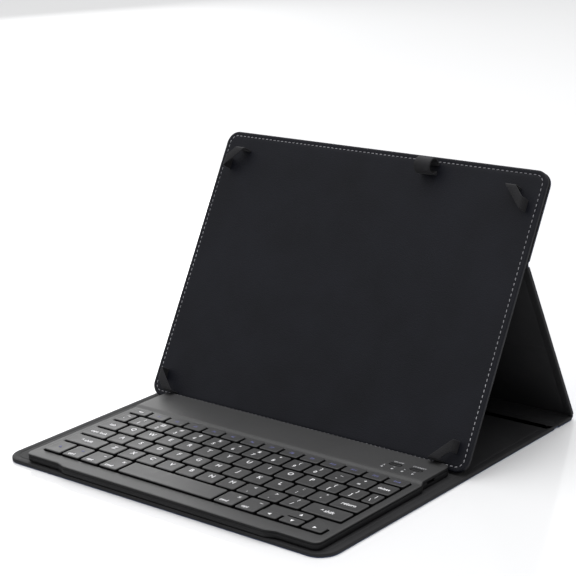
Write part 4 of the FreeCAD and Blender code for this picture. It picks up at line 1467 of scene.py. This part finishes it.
@dataclass
class KeyField:
    """The layout and the shapes of all the keys."""

    wardrobe: Wardrobe
    matrix: Matrix
    pitch: float = 17.0
    row_pitch: float = 15.2
    gap: float = 1.8
    front: float = 11.9
    front_depth: float = 18.6
    function_depth: float = 11.3
    bottom: float = 4.4
    top: float = 6.8
    dish: float = 0.16
    dish_span: float = 13.0
    corner: float = 1.6
    membrane: float = 1.9
    dome_radius: float = 2.6
    dome_top: float = 4.0

    def span(self, row: Row, number: int) -> tuple[float, float, float, float]:
        """Left, right, low and high edges of a cap.

        Args:
            row: Its row.
            number: Its place in the row.

        Returns:
            The edges in the keyboard's frame.
        """
        units = row.value
        left = (sum(units[:number]) - UNITS_ACROSS / 2) * self.pitch
        right = left + units[number] * self.pitch
        order = list(Row)
        step = order.index(row)
        low = self.front + (0 if step == 0 else self.front_depth + (step - 1) * self.row_pitch)
        depth = {Row.FRONT: self.front_depth, Row.FUNCTION: self.function_depth}.get(
            row, self.row_pitch
        )
        half = self.gap / 2
        return left + half, right - half, low + half, low + depth - half

    def lettering(self) -> dict[Row, list[tuple[str, tuple[Legend, ...]]]]:
        """Body and lettering of every full-size key, row by row.

        Returns:
            For each row, pairs of body and lettering.
        """
        signs = ("!1", "@2", "#3", "$4", "%5", "^6", "&7", "*8", "(9", ")0", "_-", "+=")
        symbols = [pair(*both) for both in signs]
        upper = [plain(letter) for letter in "QWERTYUIOP"] + [pair("{", "["), pair("}", "]")]
        home = [plain(letter) for letter in "ASDFGHJKL"] + [pair(":", ";"), pair('"', "'")]
        lower = [plain(letter) for letter in "ZXCVBNM"]
        lower += [pair("<", ","), pair(">", "."), pair("?", "/")]
        front = [
            ("modifier_keys", blue("fn")),
            ("modifier_keys", (
                Legend("ctrl", 3.7, -1.8, -4.6), Legend("=", 4.4, 1.6, 2.2, Surface.SECOND),
            )),
            ("modifier_keys", modifier("opt", "~")), ("modifier_keys", modifier("cmd", "x")),
            ("space_key", (Legend("=", 5.4, -35.5, 2.2, Surface.SECOND),)),
            ("modifier_keys", modifier("cmd", "x")), ("modifier_keys", modifier("opt", "~")),
        ]
        functions = [("escape_key", word("esc", 3.0))]
        functions += [("function_keys", blue(f"F{number}")) for number in range(1, 13)]
        functions.append(("function_keys", blue("lock")))
        return {
            Row.FRONT: front,
            Row.LOWER: [("left_shift_key", word("^ shift", 4.2))]
            + [("lower_letter_keys", item) for item in lower]
            + [("right_shift_key", word("^ shift", 4.2))],
            Row.HOME: [("caps_key", word("caps lock", 3.8))]
            + [("home_letter_keys", item) for item in home]
            + [("return_key", word("return", 4.2))],
            Row.UPPER: [("tab_key", word("tab", 4.0))]
            + [("upper_letter_keys", item) for item in upper]
            + [("upper_letter_keys", pair("|", "\\"))],
            Row.NUMBER: [("number_keys", pair("~", "`"))]
            + [("number_keys", item) for item in symbols]
            + [("delete_key", word("delete", 3.6))],
            Row.FUNCTION: functions,
        }

    def keys(self) -> list[Key]:
        """Every key of the keyboard.

        Returns:
            The keys, row by row, and the four arrows last.
        """
        made = []
        for row, items in self.lettering().items():
            for number, (body, legends) in enumerate(items):
                made.append(Key(body, *self.span(row, number), legends))
        middle = self.front + self.front_depth / 2
        quarter = self.gap / 4
        for body, number, upper, turn in (
            ("left_arrow_key", 7, False, 180.0), ("down_arrow_key", 8, False, -90.0),
            ("up_arrow_key", 8, True, 90.0), ("right_arrow_key", 9, False, 0.0),
        ):
            left, right, low, high = self.span(Row.FRONT, number)
            edges = (middle + quarter, high) if upper else (low, middle - quarter)
            made.append(Key(body, left, right, *edges, (), turn))
        return made

    def build(self) -> None:
        """Build the caps and the lettering, body by body."""
        bodies: dict[str, list[Key]] = {}
        domes = Sculpt()
        for key in self.keys():
            bodies.setdefault(key.body, []).append(key)
            self.dome(domes, key)
        self.wardrobe.clothe(
            domes, "rubber_domes", Surface.RUBBER, self.matrix,
            "keyboard", "dome_rubber", ("key_domes",),
        )
        for body, keys in bodies.items():
            caps = Sculpt()
            inks: dict[Surface, Sculpt] = {}
            for key in keys:
                self.cap(caps, key)
                self.letters(inks, key)
            piece = caps.piece(f"{body}_caps", self.wardrobe.get(Surface.CAP), self.matrix, 42)
            # Painted shade: the caps' steep sides take the near-black skirt finish.
            paint_side_shade(piece, self.wardrobe.get(Surface.SKIRT_SHADE))
            fit(piece, body, (body,))
            for surface, ink in inks.items():
                name = f"{body}_{surface.name.lower()}"
                self.wardrobe.clothe(ink, name, surface, self.matrix, body, "keycap", sharp=30)

    def cap(self, made: Sculpt, key: Key) -> None:
        """Add one cap, with soft edges and a shallow dish.

        Args:
            made: The mesh of its body.
            key: The key.
        """
        plan = rounded_box((key.left, key.right, key.low, key.high), self.corner, 5)
        top, bottom = self.top, self.bottom
        profile: Profile = [
            (1.0, bottom + 0.9), (0.9, bottom), (0.05, bottom), (0.0, bottom + 0.2),
            (0.10, top - 0.75), (0.17, top - 0.42), (0.32, top - 0.20), (0.55, top - 0.06),
            (0.85, top), (1.15, top - 0.01),
        ]
        levels = made.rings(plan, profile)
        middle = key.middle().to_2d()
        deep = min(1.0, (key.high - key.low) / self.dish_span) * self.dish
        inset, height = profile[-1]
        loop = drawn_in(plan, inset)
        for share in (0.75, 0.45):
            small = [tuple(middle + (Vector(p) - middle) * share) for p in loop]
            levels.append(made.ring(small, height - deep * (1 - share * share)))
        made.tube(levels)

    def dome(self, made: Sculpt, key: Key) -> None:
        """Add the rubber dome under a key, low enough for the key's whole travel.

        Args:
            made: The mesh of all the domes.
            key: The key.
        """
        foot = circle(key.middle(), self.dome_radius)
        base, top = self.membrane, self.dome_top
        made.loft(foot, [
            (0.0, base), (0.0, base + 0.3), (0.35, base + 0.5), (1.0, top - 0.55),
            (1.15, top - 0.15), (1.3, top),
        ])

    def letters(self, inks: dict[Surface, Sculpt], key: Key) -> None:
        """Add a key's lettering or its arrow.

        Args:
            inks: The lettering of its body so far, by finish.
            key: The key.
        """
        centre = key.middle()
        height = self.top - 0.10
        for legend in key.legends:
            ink = inks.setdefault(legend.surface, Sculpt())
            spot = centre + Vector((legend.across, legend.along, height))
            ink.absorb(text_mesh(legend.text, legend.size), Matrix.Translation(spot))
        if key.arrow is not None:
            ink = inks.setdefault(Surface.LEGEND, Sculpt())
            turn = Matrix.Rotation(math.radians(key.arrow), 4, "Z")
            corners = ((1.5, 0, 0), (-0.9, 1.25, 0), (-0.9, -1.25, 0))
            tip = [turn @ Vector(corner) + centre for corner in corners]
            low = ink.row((p.x, p.y, height - 0.04) for p in tip)
            high = ink.row((p.x, p.y, height + 0.06) for p in tip)
            ink.tube([low, high])


def text_mesh(text: str, size: float) -> bpy.types.Mesh:
    """Letters as a thin solid mesh, centred on the origin.

    Args:
        text: What it says.
        size: Height of the type in millimetres.

    Returns:
        A new mesh.
    """
    curve = bpy.data.curves.new("letters", "FONT")
    curve.body = text
    curve.size = size
    curve.align_x = "CENTER"
    curve.align_y = "CENTER"
    curve.extrude = 0.06
    curve.offset = 0.05
    curve.resolution_u = 3
    holder = bpy.data.objects.new("letters", curve)
    mesh = bpy.data.meshes.new_from_object(holder)
    bpy.data.objects.remove(holder)
    bpy.data.curves.remove(curve)
    return mesh


@dataclass
class Keyboard:
    """The keyboard's shells, keys, controls and marks."""

    wardrobe: Wardrobe
    rest: RestPose
    shift: float = 5.3
    front: float = 0.5
    half: float = 122.0
    rear: float = 137.6
    lip_setback: float = 2.3
    lip_flat: float = 91.0
    lip_front: float = 84.0
    recess: float = 103.6
    recess_depth: float = 2.0
    recess_corner: float = 1.6
    corner: float = 5.0
    foot: float = 0.3
    seam: float = 3.9
    deck: float = 5.5
    rise: float = 0.9
    ridge: Pair = (103.4, 108.6)
    button_places: Pair = (90.7, 106.5)
    button_row: float = 119.4
    button_size: Pair = (9.0, 3.2)
    button_play: float = 0.25
    lamp_places: tuple[float, ...] = (84.7, 92.5, 100.3, 108.1)
    lamp_row: float = 112.9
    lamp_radius: float = 0.88
    lamp_window: float = 0.95
    well_play: float = 0.4
    port_size: Pair = (9.0, 3.1)
    port_low: float = 1.58
    port_row: float = 116.0
    port_reach: Pair = (-6.8, 1.0)

    def build(self) -> None:
        """Build and dress every piece."""
        self.matrix = self.rest.stand(self.front, self.rest.panel, x=self.shift)
        bottom = self.bottom_case()
        deck = self.top_shell()
        for piece in (bottom, deck):
            carve(piece, self.port_cutter())
            piece.data.shade_smooth()
            piece.data.set_sharp_from_angle(angle=math.radians(SHARP))
        # Painted shade: the deck's steep walls take the dark side finish.
        paint_side_shade(deck, self.wardrobe.get(Surface.CASE))
        fit(bottom, "keyboard", ("keyboard_bottom_case",))
        fit(deck, "keyboard", ("keyboard_deck",))
        KeyField(self.wardrobe, self.matrix).build()
        self.controls()
        self.marks()

    def plan(self) -> Loop:
        """Outline of the shells, with extra points where the rear strip rises.

        Returns:
            The outline, anticlockwise.
        """
        half, back, inner = self.half, self.lip_setback, self.half - self.recess_depth
        points = [
            (-half, back), (-self.lip_flat, back), (-self.lip_front, 0), (self.lip_front, 0),
            (self.lip_flat, back), (half, back), (half, self.recess),
            (inner, self.recess + 2 * self.recess_depth), (inner, self.rear), (-half, self.rear),
        ]
        corner, small = self.corner, self.recess_corner
        radii = [corner] * 6 + [small] * 2 + [corner] * 2
        loop = rounded(points, radii, 8)
        for level in self.ridge_levels():
            loop = self.with_level(loop, level)
        return loop

    def ridge_levels(self) -> list[float]:
        """Distances along Y of the lines on the rise of the rear strip."""
        low, high = self.ridge
        return [low + (high - low) * step / 8 for step in range(9)]

    def with_level(self, loop: Loop, level: float) -> Loop:
        """Add the outline's two points at one distance along Y.

        Args:
            loop: The outline.
            level: The distance.

        Returns:
            The outline with the two more points.
        """
        made: Loop = []
        for i, (x, y) in enumerate(loop):
            made.append((x, y))
            after = loop[(i + 1) % len(loop)]
            if (y - level) * (after[1] - level) < 0:
                share = (level - y) / (after[1] - y)
                made.append((x + (after[0] - x) * share, level))
        return made

    def lift(self, along: float) -> float:
        """Rise of the deck at a distance along Y."""
        low, high = self.ridge
        return self.rise * smooth_step((along - low) / (high - low))

    def bottom_case(self) -> bpy.types.Object:
        """Build the lower shell as a tray.

        Returns:
            The piece.
        """
        made = Sculpt()
        low = self.foot
        profile = [
            (2.0, low), (1.0, low), (0.45, low + 0.12), (0.12, low + 0.45), (0.0, low + 0.9),
            (0.0, self.seam - 0.35), (0.10, self.seam - 0.12), (0.30, self.seam - 0.02),
            (1.2, self.seam - 0.02), (1.3, low + 0.9), (2.0, low + 0.9),
        ]
        made.loft(self.plan(), profile)
        return made.piece("bottom_shell", self.wardrobe.get(Surface.CASE), self.matrix)

    def top_shell(self) -> bpy.types.Object:
        """Build the deck, with its key well, rear strip and control windows.

        Returns:
            The piece.
        """
        made = Sculpt()
        plan = self.plan()
        top = self.deck
        outer: Profile = [
            (1.3, self.seam + 0.06), (0.30, self.seam + 0.06), (0.08, self.seam + 0.16),
            (0.0, self.seam + 0.36), (0.0, top - 0.75), (0.07, top - 0.46), (0.22, top - 0.24),
            (0.45, top - 0.09), (0.75, top - 0.01), (1.05, top),
        ]
        rings = []
        for inset, height in outer:
            share = max(0.0, min(1.0, (height - self.seam - 0.5) / 0.4))
            loop = drawn_in(plan, inset)
            rings.append(made.row(
                (x, y, height + share * self.lift(base))
                for (x, y), (_, base) in zip(loop, plan)
            ))
        made.walls(rings)
        levels = made.rings(self.well(), [
            (-0.55, top), (-0.28, top - 0.04), (-0.08, top - 0.14), (0.0, top - 0.35),
            (0.0, self.seam + 0.06),
        ])
        made.walls(levels)
        made.cap(rings[0], [levels[-1]])
        self.close_top(made, plan, rings[-1], levels[0])
        made.loft(self.web(), edge_profile(self.seam + 0.06, top, 0.05, 0.35))
        return made.piece("deck_shell", self.wardrobe.get(Surface.SHELL), self.matrix)

    def close_top(self, made: Sculpt, plan: Loop, edge: Verts, well: Verts) -> None:
        """Close the deck's top in three parts: front, rise and rear strip.

        Args:
            made: The mesh of the deck.
            plan: The outline that the edge came from.
            edge: Innermost ring of the deck's edge.
            well: Ring round the key well.
        """
        sides = []
        for level in self.ridge_levels():
            found = [i for i, (_, y) in enumerate(plan) if abs(y - level) < 1e-6]
            sides.append((min(found), max(found)))
        first_right, first_left = sides[0]
        last_right, last_left = sides[-1]
        made.cap(edge[first_left:] + edge[: first_right + 1], [well])
        for (right, left), (next_right, next_left) in zip(sides, sides[1:]):
            made.face([edge[right], edge[next_right], edge[next_left], edge[left]])
        top = self.deck + self.rise
        windows = [self.window(made, loop, top) for loop in self.window_loops()]
        made.cap(edge[last_right: last_left + 1], windows)

    def window(self, made: Sculpt, loop: Loop, top: float) -> Verts:
        """Sink one window into the rear strip.

        Args:
            made: The mesh of the deck.
            loop: Outline of the window.
            top: Height of the strip.

        Returns:
            The ring at the top of the window.
        """
        levels = made.rings(loop, [(-0.15, top), (0.0, top - 0.12), (0.0, top - 1.1)])
        made.walls(levels)
        made.cap(levels[-1])
        return levels[0]

    def window_loops(self) -> list[Loop]:
        """Outlines of the windows for the buttons and the lamps."""
        buttons = [self.pill(across, self.button_play) for across in self.button_places]
        return buttons + [self.disc(across, self.lamp_window) for across in self.lamp_places]

    def pill(self, across: float, play: float) -> Loop:
        """Outline of a button, with play round it.

        Args:
            across: Distance of its middle to the right.
            play: How much larger it is on every side.

        Returns:
            The outline.
        """
        wide, deep = (size / 2 + play for size in self.button_size)
        edges = (across - wide, across + wide, self.button_row - deep, self.button_row + deep)
        return rounded_box(edges, self.button_size[1] / 2.1 + play, 6)

    def disc(self, across: float, radius: float) -> Loop:
        """Outline of a lamp."""
        return circle((across, self.lamp_row), radius)

    def well(self) -> Loop:
        """Outline of the key well, with the deck kept beside the upper arrow.

        Returns:
            The outline.
        """
        field = KeyField(self.wardrobe, self.matrix)
        margin = field.gap / 2 - self.well_play
        half = UNITS_ACROSS * field.pitch / 2 - margin
        low = field.front + margin
        high = (
            field.front + field.front_depth + 4 * field.row_pitch + field.function_depth - margin
        )
        step = field.front + field.front_depth / 2 - field.gap / 4 + self.well_play
        shelf = field.front + field.front_depth + margin
        notch = field.span(Row.FRONT, 8)[1] + self.well_play
        points = [
            (-half, low), (half, low), (half, step), (notch, step), (notch, shelf),
            (half, shelf), (half, high), (-half, high),
        ]
        return rounded(points, (1.8, 1.8, 1.0, 0.8, 0.8, 1.0, 1.8, 1.8), 5)

    def web(self) -> Loop:
        """Outline of the patch of deck between the left arrow and the key behind it.

        Returns:
            The outline.
        """
        field = KeyField(self.wardrobe, self.matrix)
        play = 0.5
        left, right, _, high = field.span(Row.FRONT, 7)
        low = field.front + field.front_depth / 2 - field.gap / 4
        away = field.gap - play
        return rounded_box((left - away, right + away, low + play, high + away), 0.8, 4)

    def port_cutter(self) -> bpy.types.Object:
        """Build the block that opens the charging port in the right wall.

        Returns:
            The block.
        """
        made = Sculpt()
        width, height = self.port_size
        edges = (-width / 2, width / 2, self.port_low, self.port_low + height)
        loop = rounded_box(edges, 1.2, 5)
        wall = self.half - self.recess_depth
        made.tube([
            made.row((wall + reach, self.port_row + y, z) for y, z in loop)
            for reach in self.port_reach
        ])
        return made.piece("port_cutter", self.wardrobe.get(Surface.CASE), self.matrix)

    def controls(self) -> None:
        """Build the two buttons and the four lamps."""
        top = self.deck + self.rise
        for body, across in zip(("power_button", "connect_button"), self.button_places):
            made = Sculpt()
            profile = [
                (0.3, top - 0.62), (0.0, top - 0.57), (0.0, top + 0.05), (0.12, top + 0.25),
                (0.35, top + 0.37), (0.7, top + 0.4), (0.95, top + 0.38),
            ]
            made.loft(self.pill(across, 0.0), profile)
            self.wardrobe.clothe(
                made, f"{body}_cap", Surface.BUTTON, self.matrix, body, "button", (body,)
            )
        made = Sculpt()
        for across in self.lamp_places:
            made.loft(self.disc(across, self.lamp_radius), [
                (0.1, top - 1.0), (0.0, top - 0.95), (0.0, top - 0.12), (0.12, top - 0.03),
                (0.3, top),
            ])
        self.wardrobe.clothe(
            made, "lamp_lenses", Surface.LENS, self.matrix, "keyboard", "lens",
            ("indicator_lenses",),
        )

    def marks(self) -> None:
        """Print the small marks beside the controls."""
        top = self.deck + self.rise + 0.02
        made = Sculpt()
        for texts, places, row, size in (
            (("ON OFF", "CONNECT"), self.button_places, self.button_row + 3.6, 2.0),
            (("A", "=", "+", "o"), self.lamp_places, self.lamp_row + 2.5, 2.6),
        ):
            for text, across in zip(texts, places):
                made.absorb(text_mesh(text, size), Matrix.Translation((across, row, top)))
        self.wardrobe.clothe(
            made, "control_marks", Surface.MARK, self.matrix, "keyboard", "shell", sharp=30
        )


# ------------------------------------------------------------------ inner parts


@dataclass
class InnerParts:
    """Frame nodes that keep their own shape and get a finish."""

    wardrobe: Wardrobe

    def build(self) -> None:
        """Dress every node that stays."""
        for node, surface in {
            "cover_magnets": Surface.MAGNET,
            "mounting_tape": Surface.TAPE,
            "support_plate": Surface.STEEL,
            "contact_membrane": Surface.MEMBRANE,
            "keyboard_circuit_board": Surface.CIRCUIT,
            "keyboard_battery": Surface.FOIL,
            "charging_port": Surface.PORT,
            "keyboard_feet": Surface.RUBBER,
            "case_screws": Surface.STEEL,
        }.items():
            self.dress(node, surface)

    def dress(self, node: str, surface: Surface) -> None:
        """Give one node a finish.

        Args:
            node: Name of the node.
            surface: Its finish.
        """
        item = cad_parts[node]
        item.data.materials.clear()
        item.data.materials.append(self.wardrobe.get(surface))
        LOG.info("%s keeps its shape, %s", node, surface.value.name)


# ------------------------------------------------------------------ studio


@dataclass
class Studio:
    """Floor, lights and camera."""

    wardrobe: Wardrobe
    floor_size: float = 6.0
    camera_place: tuple[float, float, float] = (0.71019, -0.83250, 0.43096)
    camera_right: tuple[float, float, float] = (0.76877, 0.63822, -0.04100)
    camera_down: tuple[float, float, float] = (0.15232, -0.24498, -0.95749)
    camera_ahead: tuple[float, float, float] = (-0.62113, 0.72984, -0.28555)
    lens: float = 110.1
    sky: Pair = (0.09, 1.95)
    even_below: float = 0.5

    def build(self) -> None:
        """Set up the whole studio."""
        self.floor()
        self.lights()
        self.world()
        self.camera()

    def floor(self) -> None:
        """Lay a pale floor with a soft shine."""
        half = self.floor_size / 2 / MM
        made = Sculpt()
        count = 8
        rows = [
            made.row((half * (2 * i / count - 1), half * (2 * j / count - 1), -0.05)
                     for i in range(count + 1))
            for j in range(count + 1)
        ]
        made.walls(rows, closed=False)
        made.piece("floor", self.wardrobe.get(Surface.FLOOR), Matrix.Scale(MM, 4))

    def lights(self) -> None:
        """Hang two soft boxes, above and behind on the left."""
        for name, place, size, power in (
            ("top_light", (-0.3, 0.5, 1.9), 1.6, 16.0),
            ("side_light", (-1.75, 1.15, 0.62), 1.0, 9.5),
        ):
            lamp = bpy.data.lights.new(name, "AREA")
            lamp.shape = "SQUARE"
            lamp.size = size
            lamp.energy = power
            holder = bpy.data.objects.new(name, lamp)
            holder.location = place
            aim = Vector((0.0, 0.0, 0.05)) - Vector(place)
            holder.rotation_euler = aim.to_track_quat("-Z", "Y").to_euler()
            bpy.context.scene.collection.objects.link(holder)

    def world(self) -> None:
        """Surround everything with white light that grows towards the top."""
        world = bpy.data.worlds.new("studio")
        world.use_nodes = True
        tree = world.node_tree
        place = tree.nodes.new("ShaderNodeTexCoord").outputs["Generated"]
        split = tree.nodes.new("ShaderNodeSeparateXYZ")
        tree.links.new(place, split.inputs[0])
        lift = tree.nodes.new("ShaderNodeMath")
        lift.operation = "MAXIMUM"
        lift.inputs[1].default_value = self.even_below
        tree.links.new(split.outputs["Z"], lift.inputs[0])
        square = tree.nodes.new("ShaderNodeMath")
        square.operation = "POWER"
        square.inputs[1].default_value = 2.0
        tree.links.new(lift.outputs[0], square.inputs[0])
        blend = tree.nodes.new("ShaderNodeMapRange")
        blend.inputs["To Min"].default_value = self.sky[0]
        blend.inputs["To Max"].default_value = self.sky[1]
        tree.links.new(square.outputs[0], blend.inputs["Value"])
        shade = tree.nodes["Background"]
        shade.inputs["Color"].default_value = (1.0, 1.0, 1.0, 1.0)
        tree.links.new(blend.outputs["Result"], shade.inputs["Strength"])
        bpy.context.scene.world = world
        bpy.context.scene.view_settings.view_transform = "Standard"

    def camera(self) -> None:
        """Place the camera."""
        data = bpy.data.cameras.new("camera")
        data.lens = self.lens
        data.sensor_width = 36.0
        data.clip_start = 0.02
        data.clip_end = 50.0
        made = bpy.data.objects.new("camera", data)
        right, up, back = (
            Vector(self.camera_right), -Vector(self.camera_down), -Vector(self.camera_ahead),
        )
        turn = Matrix((right, up, back)).transposed().to_4x4()
        made.matrix_world = Matrix.Translation(self.camera_place) @ turn
        bpy.context.scene.collection.objects.link(made)
        bpy.context.scene.camera = made


def main() -> None:
    """Build the case, piece by piece, and then its studio."""
    logging.basicConfig(level=logging.INFO, format="%(name)s: %(message)s", stream=sys.stdout)
    wardrobe = Wardrobe()
    rest = RestPose()
    for part in (
        FoldingCover(wardrobe, rest),
        Carrier(wardrobe, rest),
        Keyboard(wardrobe, rest),
        InnerParts(wardrobe),
    ):
        LOG.info("building %s", type(part).__name__)
        part.build()
    Studio(wardrobe).build()


if __name__ == "__main__":
    main()
